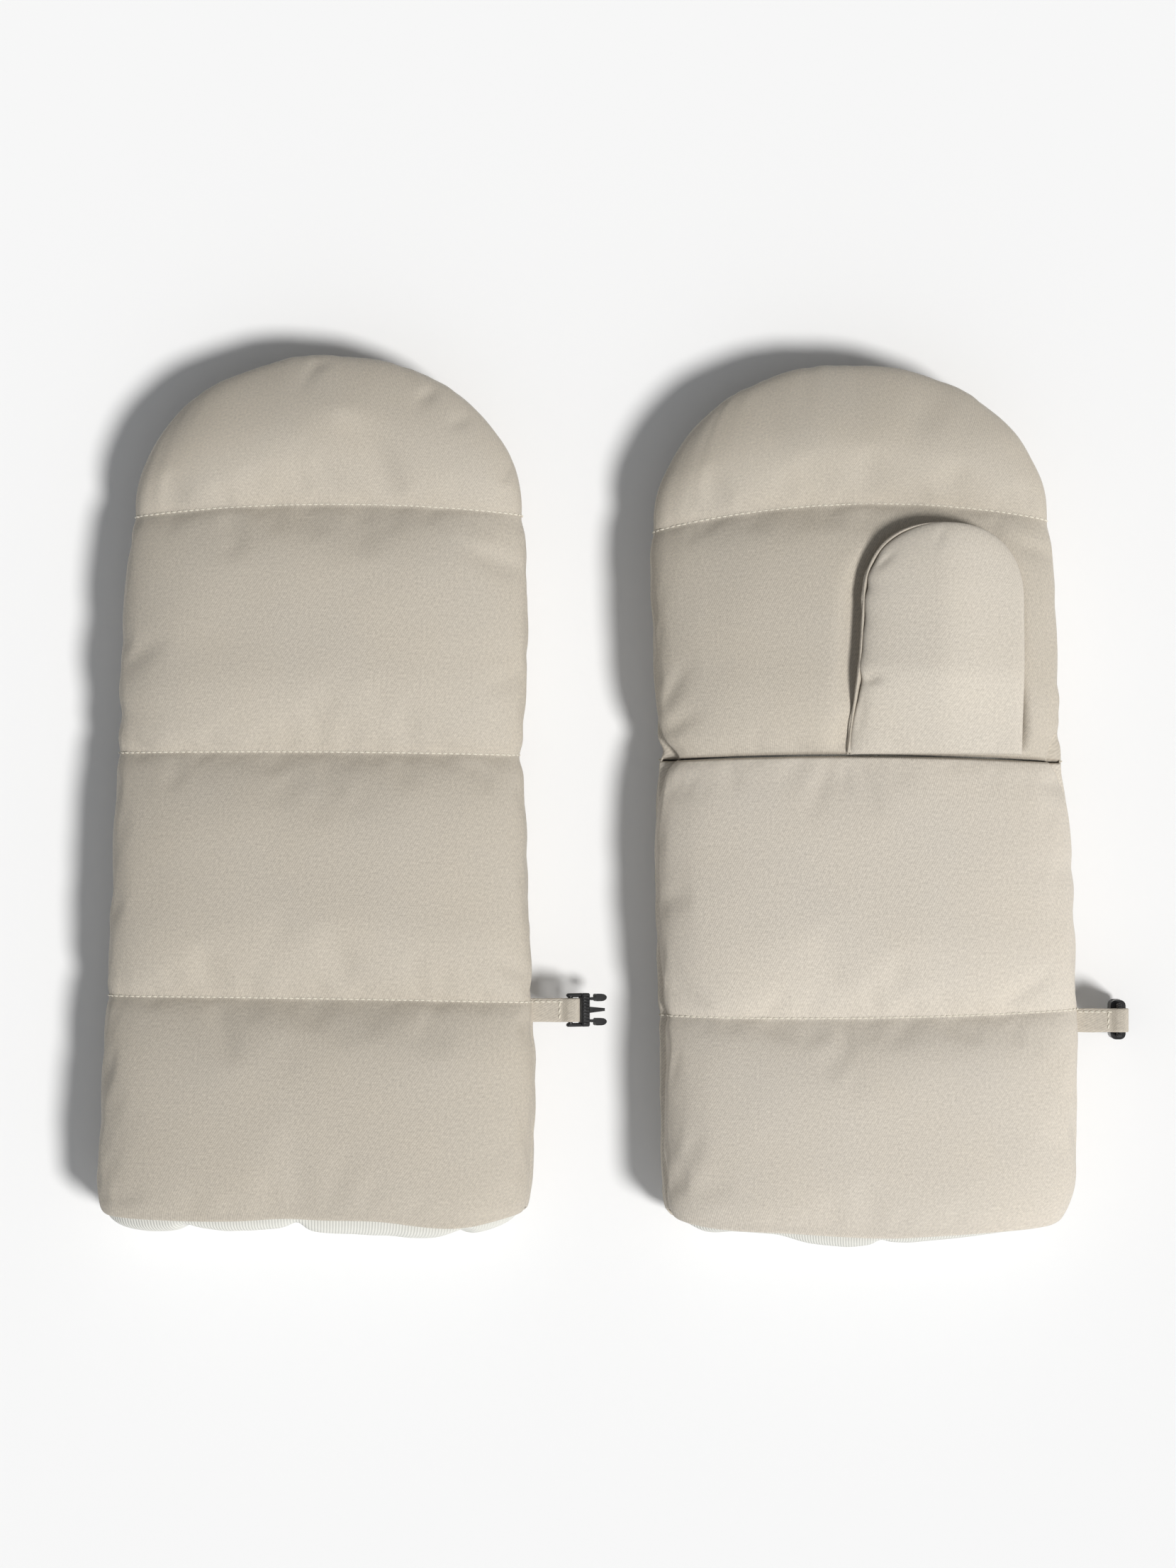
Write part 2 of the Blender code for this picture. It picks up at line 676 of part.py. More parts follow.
def prong_outline(sign):
    """Arm with a round root, and a barb with a square shoulder and a round nose."""
    root = PRONG_ARM_WIDTH / 2
    barb_start = PRONG_LENGTH - BARB_LENGTH
    outward = BARB_WIDTH - BARB_INWARD
    middle = (outward - BARB_INWARD) / 2
    nose_length = BARB_LENGTH / 2
    points = arc_points(0, 0, root, 90, 270, 6)
    points += [(barb_start, -root), (barb_start + BUCKLE_EDGE, -BARB_INWARD)]
    for x, y in arc_points(0, 0, 1, -90, 90, 8):
        points.append((PRONG_LENGTH - nose_length * (1 - x), middle + BARB_WIDTH / 2 * y))
    points += [
        (barb_start + BUCKLE_EDGE, outward),
        (barb_start, outward - BUCKLE_EDGE),
        (barb_start, root),
    ]
    return [(x, sign * y) for x, y in points][::sign]


def make_prongs(body_pivot, plate_end):
    """The two spring arms, each under an empty on the axis that it flexes about."""
    for name, sign in (("left_upper_prong", 1), ("left_lower_prong", -1)):
        root = (plate_end + PRONG_ROOT, sign * PRONG_Y, 0)
        pivot = add_pivot(name + "_pivot", root, 0, body_pivot)
        flat_outline(name, [prong_outline(sign)], PRONG_THICKNESS, "buckle_plastic", pivot)


def round_sides(part, radius):
    """Rounds a block's four edges along x, which gives it the half-round sides of a buckle."""
    shape = bmesh.new()
    shape.from_mesh(part.data)
    along = []
    for edge in shape.edges:
        run = edge.verts[1].co - edge.verts[0].co
        if abs(run.x) > max(abs(run.y), abs(run.z)):
            along.append(edge)
    bmesh.ops.bevel(shape, geom=along, offset=radius, segments=4, affect="EDGES", profile=0.5)
    shape.to_mesh(part.data)
    shape.free()


def make_female_half(pivot):
    """The socket with its mouth, its side windows, its rails and its web bar."""
    half_z = SOCKET_THICKNESS / 2
    inner_z = half_z - SOCKET_WALL
    end = BAR_TO_PLATE + SOCKET_LENGTH
    socket = block(
        "right_buckle_socket", (BAR_TO_PLATE, -SOCKET_OUTER, -half_z), (end, SOCKET_OUTER, half_z),
        PARTS,
    )
    round_sides(socket, SOCKET_SIDE_ROUND)
    finish_part(socket, "buckle_plastic", pivot)
    combine(socket, web_frame("female", RAIL_OUTER, BAR_TO_PLATE), "UNION")
    mouth = block(
        "mouth_cutter",
        (BAR_TO_PLATE + SOCKET_WALL, -SOCKET_INNER, -inner_z),
        (end + CUT_OVERRUN, SOCKET_INNER, inner_z),
        CUTTERS,
    )
    tip_x = end - PRONG_ROOT - PRONG_LENGTH
    windows = block(
        "window_cutter",
        (tip_x - LATCH_CLEARANCE, -SOCKET_OUTER - CUT_OVERRUN, -inner_z),
        (tip_x + BARB_LENGTH + LATCH_CLEARANCE, SOCKET_OUTER + CUT_OVERRUN, inner_z),
        CUTTERS,
    )
    combine(socket, [mouth, windows], "DIFFERENCE")


def place_mitten(mitten, droop_deg):
    """The empties of a mitten: its own origin, its thumb's and its strap's hinge lines, its bar."""
    mitten.pivot = add_pivot(mitten.name + "_mitten_origin", mitten.origin, 0, None)
    seam_point = (0, PALM_SEAM_Y, mitten.flip * THUMB_BASE_Z)
    mitten.thumb_pivot = add_pivot(mitten.name + "_thumb_pivot", seam_point, 0, mitten.pivot)
    root_x = mitten.strap_edge() + STRAP_ROOT_GAP + STRAP_LAYER
    mitten.strap_pivot = add_pivot(
        mitten.name + "_strap_pivot", (root_x, STRAP_Y, 0), 0, mitten.pivot
    )
    bar_x = make_strap(mitten)
    return add_pivot(
        mitten.name + "_buckle_pivot", (bar_x, 0, 0), math.radians(droop_deg), mitten.strap_pivot
    )


def main():
    left = Mitten("left", LEFT_HEM_Y, LEFT_LEAN, True, LEFT_STRAP_REACH)
    right = Mitten("right", RIGHT_HEM_Y, RIGHT_LEAN, False, RIGHT_STRAP_REACH)
    cuff_edge = CUFF_WIDTH / 2 - SIDE_DRAW
    strap_end = right.strap_edge() + right.strap_length
    left.origin.x = (cuff_edge - PAIR_STEP - strap_end) / 2
    right.origin.x = left.origin.x + PAIR_STEP
    male_pivot = place_mitten(left, MALE_DROOP_DEG)
    female_pivot = place_mitten(right, FEMALE_DROOP_DEG)
    for mitten in (left, right):
        make_body(mitten)
        make_thumb(mitten)
    plate_end = make_male_half(male_pivot)
    make_prongs(male_pivot, plate_end)
    make_female_half(female_pivot)


for old in list(bpy.data.objects):
    bpy.data.objects.remove(old, do_unlink=True)
PARTS = make_collection(OBJECT_NAME, bpy.context.scene.collection)
TOOLS = make_collection(OBJECT_NAME + "_added_shapes", bpy.context.scene.collection)
CUTTERS = make_collection(OBJECT_NAME + "_cutters", bpy.context.scene.collection)
PALETTE = make_materials()
main()
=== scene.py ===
"""Looks of a pair of quilted stroller mittens that lie flat, one palm down and one palm up.

Lengths are in metres. A mitten's own frame has x across towards the thumb, y from the hem to the
fingertips, and z from the side seams towards the back of the hand.
"""

import json
import math

import bmesh
import bpy
from mathutils import Matrix, Vector, noise


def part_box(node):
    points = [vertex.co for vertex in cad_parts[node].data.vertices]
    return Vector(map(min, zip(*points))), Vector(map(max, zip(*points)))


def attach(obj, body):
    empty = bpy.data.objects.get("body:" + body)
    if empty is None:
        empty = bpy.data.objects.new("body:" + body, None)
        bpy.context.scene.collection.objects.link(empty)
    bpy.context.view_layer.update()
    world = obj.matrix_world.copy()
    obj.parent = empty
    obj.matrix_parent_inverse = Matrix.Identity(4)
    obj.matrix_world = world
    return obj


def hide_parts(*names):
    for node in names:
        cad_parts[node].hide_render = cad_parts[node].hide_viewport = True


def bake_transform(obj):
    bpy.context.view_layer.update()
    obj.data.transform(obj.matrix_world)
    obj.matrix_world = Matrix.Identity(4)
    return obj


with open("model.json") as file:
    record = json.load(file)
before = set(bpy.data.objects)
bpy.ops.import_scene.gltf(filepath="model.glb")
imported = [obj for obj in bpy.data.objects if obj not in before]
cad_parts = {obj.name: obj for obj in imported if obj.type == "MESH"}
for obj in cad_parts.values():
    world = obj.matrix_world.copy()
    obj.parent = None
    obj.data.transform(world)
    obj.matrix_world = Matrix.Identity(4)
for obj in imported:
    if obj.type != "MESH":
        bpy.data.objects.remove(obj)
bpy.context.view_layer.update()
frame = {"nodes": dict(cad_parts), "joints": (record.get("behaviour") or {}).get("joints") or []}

JOINTS = {joint["name"]: joint for joint in frame["joints"]}


def metres(rows, plain=None):
    """A table written in millimetres; its plain column holds no lengths."""
    return tuple(
        tuple(value if column == plain else value / 1000 for column, value in enumerate(row))
        for row in rows
    )


# Heights of the two halves over the side seams, and the layers of the padded wall
BACK_RISE = 0.027
PALM_RISE = 0.025
WALL = 0.0118
CLOTH = 0.0009
REST_CUT = 0.0007
FLOOR_GAP = 0.0003
CROWN_POWER = 2.55
SEAM_DRAW = 0.003
SEAM_DRAW_REACH = 0.007
LOW_ROLL = 0.32
LOW_POWER = 1.8
DOME_ROLL = 0.55
HIGH_ROLL = 0.5
HIGH_POWER = 3.0
CHANNEL_DEPTH = 0.008
PALM_DEPTH = 0.0066
LEDGE = 0.001
LEDGE_WALL = 0.0016
UNDERCUT = 0.35
HEM_DEPTH = 0.0017
DOME_FALL = 0.007
STITCH_NICK = 0.0019
STITCH_NICK_REACH = 0.0028
RIM_NEAR = 0.0016
RIM_OVERLAP = 0.0009
DOME_LENGTH = 0.07
HALF_WIDTH = 0.095
INSIDE = (0, 0.18, 0)

# Unevenness of the cloth, and how far from a line of stitches its pull ends
SIDE_WAVE = 0.0005
DOME_WAVE = 0.0011
LUMP = 0.0009
SMALL_LUMP = 0.0004
RIPPLE = 0.0008
LOOSE = 0.006
BAG_PRESSED = 0.77

# Puffing by the cloth simulation
PUFF_FRAMES = 20
PUFF_PRESSURE = 0.9
PUFF_CAP = 0.0022
SPARE_CLOTH = 0.004

# Mesh density
COLUMNS = 72
EDGE_CROWD = 0.72
ROW_STEP = 0.0034
DOME_ROWS = 26
RIM_TURNS = 12
CURVE_STEPS = 800
ARC_STEPS = 400

# Left and right silhouettes as (distance from the hem, left edge, right edge)
LEFT_SIDES = metres((
    (0, -93.8, 92.5), (4, -97.2, 95), (10, -98.5, 96.6), (22.5, -99, 97.9), (68.7, -96.8, 99),
    (97.5, -95.2, 97.5), (130, -93.8, 96.6), (162.5, -92.4, 95.6), (205.5, -90.4, 93.4),
    (250, -88.6, 95.6), (280, -86.6, 95.1), (310.5, -83.4, 94.3),
))
RIGHT_SIDES = metres((
    (0, -86.2, 83), (4, -89.2, 87), (12, -92.3, 91.2), (22, -93.1, 93.5), (42, -93.9, 94.4),
    (85.6, -94.8, 95.1), (108.8, -95.4, 94.5), (167, -96.7, 92.4), (208.5, -95, 88), (250, -96.8, 86),
    (292, -98.5, 83.9), (311, -97.8, 82.7),
))
LEFT_TOP = 0.383
RIGHT_TOP = 0.3834

# Where a silhouette is drawn in, as (side, distance from the hem, half length, depth)
LEFT_NOTCHES = metres((
    (-1, 254.1, 5, 1), (-1, 222.5, 6, 1.4), (-1, 205.6, 4, 0.8), (-1, 98.5, 4, 0.9), (-1, 310, 5, 1),
    (1, 308.5, 5, 1.2), (1, 249, 3.5, 0.7), (1, 203.5, 5, 1.4), (1, 101, 3, 0.7),
), 0)
RIGHT_NOTCHES = metres((
    (-1, 210.8, 3.4, 2.4), (-1, 94.5, 4, 0.9), (-1, 309, 6, 0.9), (1, 159, 4.5, 0.6),
    (1, 218.4, 3.4, 1.2), (1, 310, 5, 0.9),
), 0)

# How far the upper half stays inside the lower one, as (distance from the hem, left, right)
LEFT_TRIM = metres((
    (0, 0, 1.2), (30, 0, 1.6), (85, 0, 0.8), (100, 0, 0), (320, 0, 0),
))
RIGHT_TRIM = metres((
    (0, 1.2, 0), (30, 2.4, 0), (100, 2.4, 0), (176, 1.2, 0), (189, 1.4, 0.3), (196, 2.2, 2.2),
    (202, 3.2, 3.2), (207.5, 6.4, 5.6), (211, 4.2, 5), (215, 2.6, 3.6), (219, 1.6, 1.4), (226, 0.4, 1.2),
    (235, 0, 0), (320, 0, 0),
))

# The hem as (share across, distance from the hem), and how far the puffed rim stands out of it
LEFT_HEM = metres((
    (-1, 5), (-0.96, 1.8), (-0.66, 0.3), (-0.37, 0.3), (-0.12, 1.5), (0.04, 0.8), (0.31, 0.2),
    (0.55, -2.6), (0.685, -3.1), (0.81, -1.5), (0.97, 2.6), (1, 5),
), 0)
RIGHT_HEM = metres((
    (-1, 8.5), (-0.954, 4.4), (-0.78, 1), (-0.42, -0.6), (0.08, -2.7), (0.4, -1.6), (0.7, 0),
    (0.945, 2.1), (1, 6),
), 0)
LEFT_RIM = metres((
    (-1, 1), (-0.95, 4.2), (-0.78, 5.2), (-0.68, 4), (-0.63, 1.2), (-0.57, 3), (-0.44, 4.4), (-0.19, 4.4),
    (-0.1, 2.6), (-0.075, 0.3), (-0.04, 4), (0.04, 5.6), (0.31, 6), (0.6, 4.2), (0.72, 1.4), (0.755, 0.2),
    (0.79, 3.2), (0.88, 4.4), (0.96, 3.4), (1, 0.6),
), 0)
RIGHT_RIM = metres((
    (-1, 0), (-0.93, 1), (-0.88, 3), (-0.75, 0.8), (-0.5, 1), (-0.38, 3.4), (-0.12, 4.8), (0.03, 2.6),
    (0.075, 0.3), (0.12, 1.9), (0.4, 2), (0.65, 1.1), (0.8, 0.4), (1, 0),
), 0)

# Lines of stitches above the hem as (left end, middle, right end)
LEFT_LINES = metres((
    (0, 0, 0), (98.7, 97.8, 95.7), (205.6, 206, 204.5), (309.2, 314.6, 310),
))
RIGHT_LINES = metres((
    (0, 0, 0), (94.4, 93.8, 97.2), (207, 209, 206.2), (307, 319, 312),
))

# Soft folds as (x, y, length, angle in degrees, half width, depth)
LEFT_FOLDS = metres((
    (2, 212, 14, 80, 1.6, 0.6), (6, 198, 18, 105, 2.2, 0.6), (-27, 104, 14, 70, 1.6, 0.6),
    (46, 102, 16, 115, 1.8, 0.8), (50, 89, 14, 65, 1.8, 0.7), (78, 290, 30, 160, 4, 1.2),
    (84, 238, 24, 20, 4, 1), (-78, 248, 22, 30, 3.6, 1.2), (-2, 373, 14, 70, 1.4, 2),
    (3, 376, 10, 30, 1.2, 1.4), (49, 362, 12, 48, 1.4, 3), (63, 351, 10, 40, 1.3, 2.4),
    (85, 330, 9, 75, 1.2, 1.8), (84, 112, 26, 150, 3.4, 1.2), (30, 329, 30, 120, 6, 1.1),
    (-40, 85, 26, 110, 4, 0.7), (-82, 214, 16, 150, 2.6, 1.4), (-62, 320, 30, 60, 7, 0.9),
), 3)
RIGHT_FOLDS = metres((
    (-12, 198.5, 16, 88, 1.6, 1.5), (-21, 196, 22, 70, 2.4, 1), (-1, 195, 22, 108, 2.4, 1),
    (54, 199, 14, 80, 1.8, 0.7), (-60, 200, 18, 100, 2.4, 0.8), (-50, 214, 12, 95, 1.4, 0.7),
    (-10, 86, 18, 84, 2, 0.9), (2, 101, 16, 100, 1.8, 0.7), (68, 106, 22, 30, 3.2, 0.9),
    (-82, 105, 22, 150, 3.2, 0.9), (70, 300, 24, 160, 3.4, 1), (-84, 223, 18, 30, 2.6, 1.8),
    (-86, 238, 20, 60, 2.6, 1.4), (79, 218, 18, 120, 2.6, 1.2), (24, 356, 34, 55, 7, 1),
    (-42, 356, 30, 120, 6, 0.8), (-88, 145, 16, 20, 3, 1.2),
), 3)

# Thumb pouch: outline as (distance from the seam, left edge, right edge), and its thickness
THUMB_LENGTH = 0.1022
THUMB_DOME_LENGTH = 0.0352
THUMB_SIDES = metres((
    (0, -10, 67.3), (18, -8.2, 67.4), (41.5, -5.4, 67.6), (67, -3.8, 67.4),
))
THUMB_BODY = THUMB_LENGTH - THUMB_DOME_LENGTH
THUMB_SQUARE = 2.28
THUMB_CENTRE = 0.0315
THUMB_SHARE = 0.35
THUMB_HEART = 0.055
THUMB_CROWN = 0.0056
THUMB_BASE_ROUND = 0.01
THUMB_ROW_STEP = 0.0024
THUMB_COLUMNS = 44
THUMB_TIP_ROWS = 16
THUMB_MARGIN = 0.0008
THUMB_ROOT = 0.015
THUMB_BAG_START = 0.022
BAG_DEPTHS = {"front": 0.0036, "back": 0.0030}
BAG_SINK = {"front": 0.0014, "back": 0.0020}
FRONT_INSET = 0.0013
FRONT_SINK = 0.0012
BASE_FALL = 0.0036
LIP_NOTCH = (0.0335, 0.0034, 0.0015)
LIP_COLUMNS = 170
LIP_START = 0.004
LIP_END = 0.56
OUTLINE_SIDE = 0.4
LIP_SECTION = metres((
    (0, 2.1), (0.2, 1.5), (0.5, 1.2), (0.8, 1.5), (1.1, 2.3), (2.4, 3.1), (5.2, 3.8),
))

# The hollow that the pouch presses into the palm
HOLLOW_GAP = 0.0016
HOLLOW_DEPTH = 0.0035
HOLLOW_REACH = 1.25
HOLLOW_SLOPE = 0.03
HOLLOW_BEND = 0.25
HOLLOW_SOFTNESS = 0.000002

# Threads and straps
STITCH_PITCH = 0.00262
STITCH_LENGTH = 0.00215
THREAD_RADIUS = 0.0004
STITCH_TILT = 0.16
STRAP_WIDTH = 0.0106
STRAP_CLOTH = 0.0008
STRAP_LAYER_GAP = 0.0005
LOOP_RADIUS = 0.002
LOOP_TAPER = 0.0042
LOOP_SLACK = 0.0019
STRAP_SEWN_IN = 0.0012
STRAP_COLUMNS = 12
TOPSTITCH_INSET = 0.0015
TOPSTITCH_START = 0.0006
TOPSTITCH_LIFT = 0.0003

# Grip ribs on the male half: their place is (out from the bar, up) and their size half axes
PLATE_RIBS = 9
PLATE_RIB_STEP = 0.00145
PLATE_RIB_PLACE = (0.0069, 0.0021)
PLATE_RIB_SIZE = (0.0016, 0.00042, 0.00034)

# Cloths: half widths laid flat, and their patterns
BODY_WEAVE = 0.112
BAG_WEAVE = 0.1
THUMB_WEAVE = 0.041
TWILL_ANGLE = 32
TWILL_PITCH = 0.00092
LINING_PITCH = 0.0013
DOTS_PER_METRE = 18.0
DOT_SHARE = 0.028

# The photograph's frame in the model's own lengths, and its light
VIEW_HEIGHT = 0.6912
VIEW_CENTRE = (-0.01235, 0.0058)
CAMERA_HEIGHT = 2.6
MID_HEIGHT = 0.03
FLOOR_HALF_SIZE = 3.0
ROOM_LIGHT = 0.29
ROOM_SLOPE = 0.3
ROOM_COLOUR = (0.95, 0.975, 1.0)
SUN_STRENGTH = 2.92
SUN_ANGLE = 14
SUN_COLOUR = (1.0, 0.985, 0.96)
SUN_DIRECTION = (0.60, -0.37, 1.0)

COLOURS = {
    "left_twill": (0.516, 0.468, 0.397),
    "finger_twill": (0.523, 0.474, 0.401),
    # Painted light: palm_twill and thumb_twill are copies of the one twill painted lighter, standing in
    # for the brighter light on the right mitten's palm and thumb
    "palm_twill": (0.625, 0.572, 0.496),
    "thumb_twill": (0.59, 0.541, 0.468),
    "thread": (0.76, 0.715, 0.61),
    "lining": (0.695, 0.691, 0.645),
    "dot": (0.47, 0.36, 0.235),
    "plastic": (0.013, 0.013, 0.014),
    "floor": (0.9, 0.905, 0.915),
}


def smooth_step(share):
    share = min(max(share, 0.0), 1.0)
    return share * share * (3 - 2 * share)


def curve_value(table, at, column):
    """A smooth curve through the rows of a table, read at a place of its first column."""
    last = len(table) - 1
    at = min(max(at, table[0][0]), table[last][0])
    row = 0
    while row < last - 1 and table[row + 1][0] < at:
        row += 1
    low, high = table[row], table[row + 1]
    before, after = table[max(row - 1, 0)], table[min(row + 2, last)]
    span = high[0] - low[0]
    share = (at - low[0]) / span
    slope_low = (high[column] - before[column]) / max(high[0] - before[0], span) * span
    slope_high = (after[column] - low[column]) / max(after[0] - low[0], span) * span
    square, cube = share * share, share**3
    return (
        (2 * cube - 3 * square + 1) * low[column]
        + (cube - 2 * square + share) * slope_low
        + (3 * square - 2 * cube) * high[column]
        + (cube - square) * slope_high
    )


class Curve:
    """A smooth curve through a table's rows, worked out once and then read quickly."""

    def __init__(self, table, column):
        self.low = table[0][0]
        self.span = table[-1][0] - self.low
        self.values = [
            curve_value(table, self.low + self.span * step / CURVE_STEPS, column)
            for step in range(CURVE_STEPS + 1)
        ]

    def at(self, place):
        spot = min(max((place - self.low) / self.span, 0.0), 1.0) * CURVE_STEPS
        step = min(int(spot), CURVE_STEPS - 1)
        return self.values[step] + (self.values[step + 1] - self.values[step]) * (spot - step)


def arc_table():
    """Places across a rounded section, evenly spaced along its curve."""
    points = []
    for step in range(ARC_STEPS + 1):
        angle = math.pi / 2 * step / ARC_STEPS
        x = math.sin(angle) ** (2 / CROWN_POWER)
        z = math.cos(angle) ** (2 / CROWN_POWER)
        points.append((x, z * BACK_RISE / HALF_WIDTH))
    lengths = [0.0]
    for (x0, z0), (x1, z1) in zip(points, points[1:]):
        lengths.append(lengths[-1] + math.hypot(x1 - x0, z1 - z0))
    return [length / lengths[-1] for length in lengths], [x for x, _ in points]


SECTION = arc_table()


def across_share(u):
    """Turns an even place across, from -1 to 1, into a share of the half width."""
    lengths, places = SECTION
    target = abs(u)
    low, high = 0, len(lengths) - 1
    while high - low > 1:
        middle = (low + high) // 2
        if lengths[middle] <= target:
            low = middle
        else:
            high = middle
    share = (target - lengths[low]) / (lengths[high] - lengths[low])
    return math.copysign(places[low] + share * (places[high] - places[low]), u)


def spread(u):
    """Crowds even places across towards the two edges."""
    return (1 - EDGE_CROWD) * u + EDGE_CROWD * math.sin(math.pi / 2 * u)


def crown(radius):
    return (1 - min(radius, 1.0) ** CROWN_POWER) ** (1 / CROWN_POWER)


def disc_point(across, along):
    x = across * math.sqrt(1 - along * along / 2)
    y = along * math.sqrt(1 - across * across / 2)
    return x, y, math.sqrt(max(across**2 + along**2 - (across * along) ** 2, 0.0))


def fold_depth(folds, x, y):
    """Sum of the soft folds at a place: valleys that fade towards their ends."""
    total = 0.0
    for fold_x, fold_y, length, degrees, half_width, depth in folds:
        dx, dy = x - fold_x, y - fold_y
        reach = length * 0.9
        if abs(dx) > reach or abs(dy) > reach:
            continue
        angle = math.radians(degrees)
        along = dx * math.cos(angle) + dy * math.sin(angle)
        side = dy * math.cos(angle) - dx * math.sin(angle)
        fade = math.exp(-((2.4 * along / length) ** 2))
        total += depth * fade * math.exp(-((side / half_width) ** 2))
    return total


def stitch_nick(to_line):
    return STITCH_NICK * math.exp(-to_line / STITCH_NICK_REACH)


def quilted(depth):
    """How far the quilting draws in a layer at a depth: 1 at the skin, 0 at the inner wall."""
    return 1 - smooth_step((depth - RIM_NEAR) / (WALL - RIM_NEAR))


class Mitten:
    """Where a mitten lies, and the surfaces of its two halves."""

    def __init__(self, name, back_up, shape, seed):
        self.name = name
        self.body = name + "_mitten"
        self.flip = 1 if back_up else -1
        low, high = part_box(name + "_back_shell")
        palm_low, palm_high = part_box(name + "_palm_shell")
        seam_z = (low.z + palm_high.z) / 2 if back_up else (high.z + palm_low.z) / 2
        thumb_joint = JOINTS[name + "_thumb_swing"]["pos_m"]
        self.origin = Vector((thumb_joint[0], low.y, seam_z))
        sides, self.top, self.notches, trim, hem, rim = shape[:6]
        self.lines, self.folds = shape[6:]
        self.last_side = sides[-1][0]
        self.sides = (Curve(sides, 1), Curve(sides, 2))
        self.trim = (Curve(trim, 1), Curve(trim, 2))
        self.hem = Curve(hem, 1)
        self.rim = Curve(rim, 1)
        self.seed = seed
        self.lower = "palm" if back_up else "back"

    def world(self, x, y, z):
        z = self.origin.z + self.flip * z
        return Vector((self.origin.x + x, self.origin.y + y, max(z, FLOOR_GAP)))

    def line_y(self, index, x_share):
        if index == 0:
            return self.hem.at(x_share)
        left, middle, right = self.lines[index]
        bend = (left + right) / 2 - middle
        return middle + (right - left) / 2 * x_share + bend * x_share * x_share

    def edges(self, half, y, z):
        """Left and right edge of a half at a distance from the hem and a height."""
        left = self.sides[0].at(y)
        right = self.sides[1].at(y)
        for side, place, half_length, depth in self.notches:
            drawn = depth * math.exp(-(((y - place) / half_length) ** 2))
            left += drawn if side < 0 else 0.0
            right -= drawn if side > 0 else 0.0
        if half != self.lower:
            share = smooth_step((z - LEDGE) / LEDGE_WALL)
            share *= 1 + UNDERCUT * (1 - smooth_step((z - LEDGE - LEDGE_WALL) / 0.004))
            left += share * self.trim[0].at(y)
            right -= share * self.trim[1].at(y)
        return left, right

    def bump(self, x, y, scale, lift=0.0):
        return noise.noise(Vector((x / scale + self.seed, y / scale, lift + self.seed)))

    def plan(self, half, x_share, y, along, draw, z):
        """Where a place passes in plan, draw being how far its layer lies inside the silhouette."""
        left, right = self.edges(half, min(y, self.last_side), z)
        wave = SIDE_WAVE * self.bump(3.0 * x_share, y, 0.013, 5.0)
        dome_x, dome_y, radius = disc_point(x_share, along)
        angle = math.atan2(dome_y, dome_x)
        wave += DOME_WAVE * self.bump(angle * 0.08, 0.0, 0.024, 8.0) * min(3 * dome_y, 1.0)
        half_width = (right - left) / 2 - draw + wave
        top = (self.top - y - draw + wave) * dome_y
        return (left + right) / 2 + half_width * dome_x, y + top, radius

    def dip(self, half, index, share, length, dome_y):
        """Depth of the quilting at a share of a channel, or in the dome, and how near a line is."""
        full = CHANNEL_DEPTH
        if index == 3:
            to_line = dome_y * DOME_LENGTH
            pinch = max(1 - dome_y / DOME_ROLL, 0.0) ** 2
            fall = DOME_FALL * dome_y**1.4
            return full * pinch + fall + stitch_nick(to_line), to_line
        to_line = min(share, 1 - share) * length
        low = max(1 - share / LOW_ROLL, 0.0) ** LOW_POWER
        high = max(1 - (1 - share) / HIGH_ROLL, 0.0) ** HIGH_POWER
        if index == 0 and share < 0.5:
            return HEM_DEPTH * low, LOOSE + to_line
        if half == "palm" and index < 2:
            full = PALM_DEPTH
        if half == "palm" and index == 1:
            nick = stitch_nick(share * length)
            return full * low + CHANNEL_DEPTH * share**2.2 + nick, LOOSE + to_line
        return full * (low + high) + stitch_nick(to_line), to_line

    def height(self, half, place, depth):
        """Height of a layer that lies a depth inside the outer skin."""
        index, share, length, y, x, dome_y, radius = place
        full = BACK_RISE if half == "back" else PALM_RISE
        dip, to_line = self.dip(half, index, share, length, dome_y)
        if depth:
            return (full - dip * quilted(depth) - depth) * crown(radius)
        inside = 1 - smooth_step((radius - 0.86) / 0.14)
        lump = LUMP * self.bump(x, y, 0.055) + SMALL_LUMP * self.bump(x, y, 0.024, 2.0)
        near = math.exp(-to_line / 0.008) * (0.5 + 0.5 * self.bump(x, y, 0.060, 6.0))
        ripple = RIPPLE * near * self.bump(x, y * 0.3, 0.0105, 9.0)
        body = (full + REST_CUT - dip) * crown(radius)
        body += (lump + ripple) * (0.35 + 0.65 * inside) * min(crown(radius) * 2, 1.0)
        if half == self.lower:
            return max(min(body, full), 0.0)
        return max(body - fold_depth(self.folds, x, y), 0.0)

    def point(self, half, u, place_row, depth=0.0):
        """A point of a layer at an even place across and a row."""
        index, share, along = place_row
        x_share = across_share(u)
        y = y_low = self.line_y(index, x_share)
        length = DOME_LENGTH
        if index < 3:
            length = self.line_y(index + 1, x_share) - y_low
            y = y_low + length * share
        dome_y = disc_point(x_share, along)[1]
        rough_x, rough_y, radius = self.plan(half, x_share, y, along, 0.0, 1.0)
        place = (index, share, length, rough_y, rough_x, dome_y, radius)
        z = self.height(half, place, depth)
        draw = depth + quilted(depth) * SEAM_DRAW * math.exp(-((z / SEAM_DRAW_REACH) ** 2))
        x, far, _ = self.plan(half, x_share, y, along, draw, z)
        if half == "palm":
            pressed = thumb_hollow(self, x, far, z)
            z -= pressed * (BAG_PRESSED if depth > RIM_NEAR else 1.0)
            return self.world(x, far, -z)
        return self.world(x, far, z)


THUMB_CURVES = (Curve(THUMB_SIDES, 1), Curve(THUMB_SIDES, 2))


def thumb_edges(reach):
    return THUMB_CURVES[0].at(reach), THUMB_CURVES[1].at(reach)


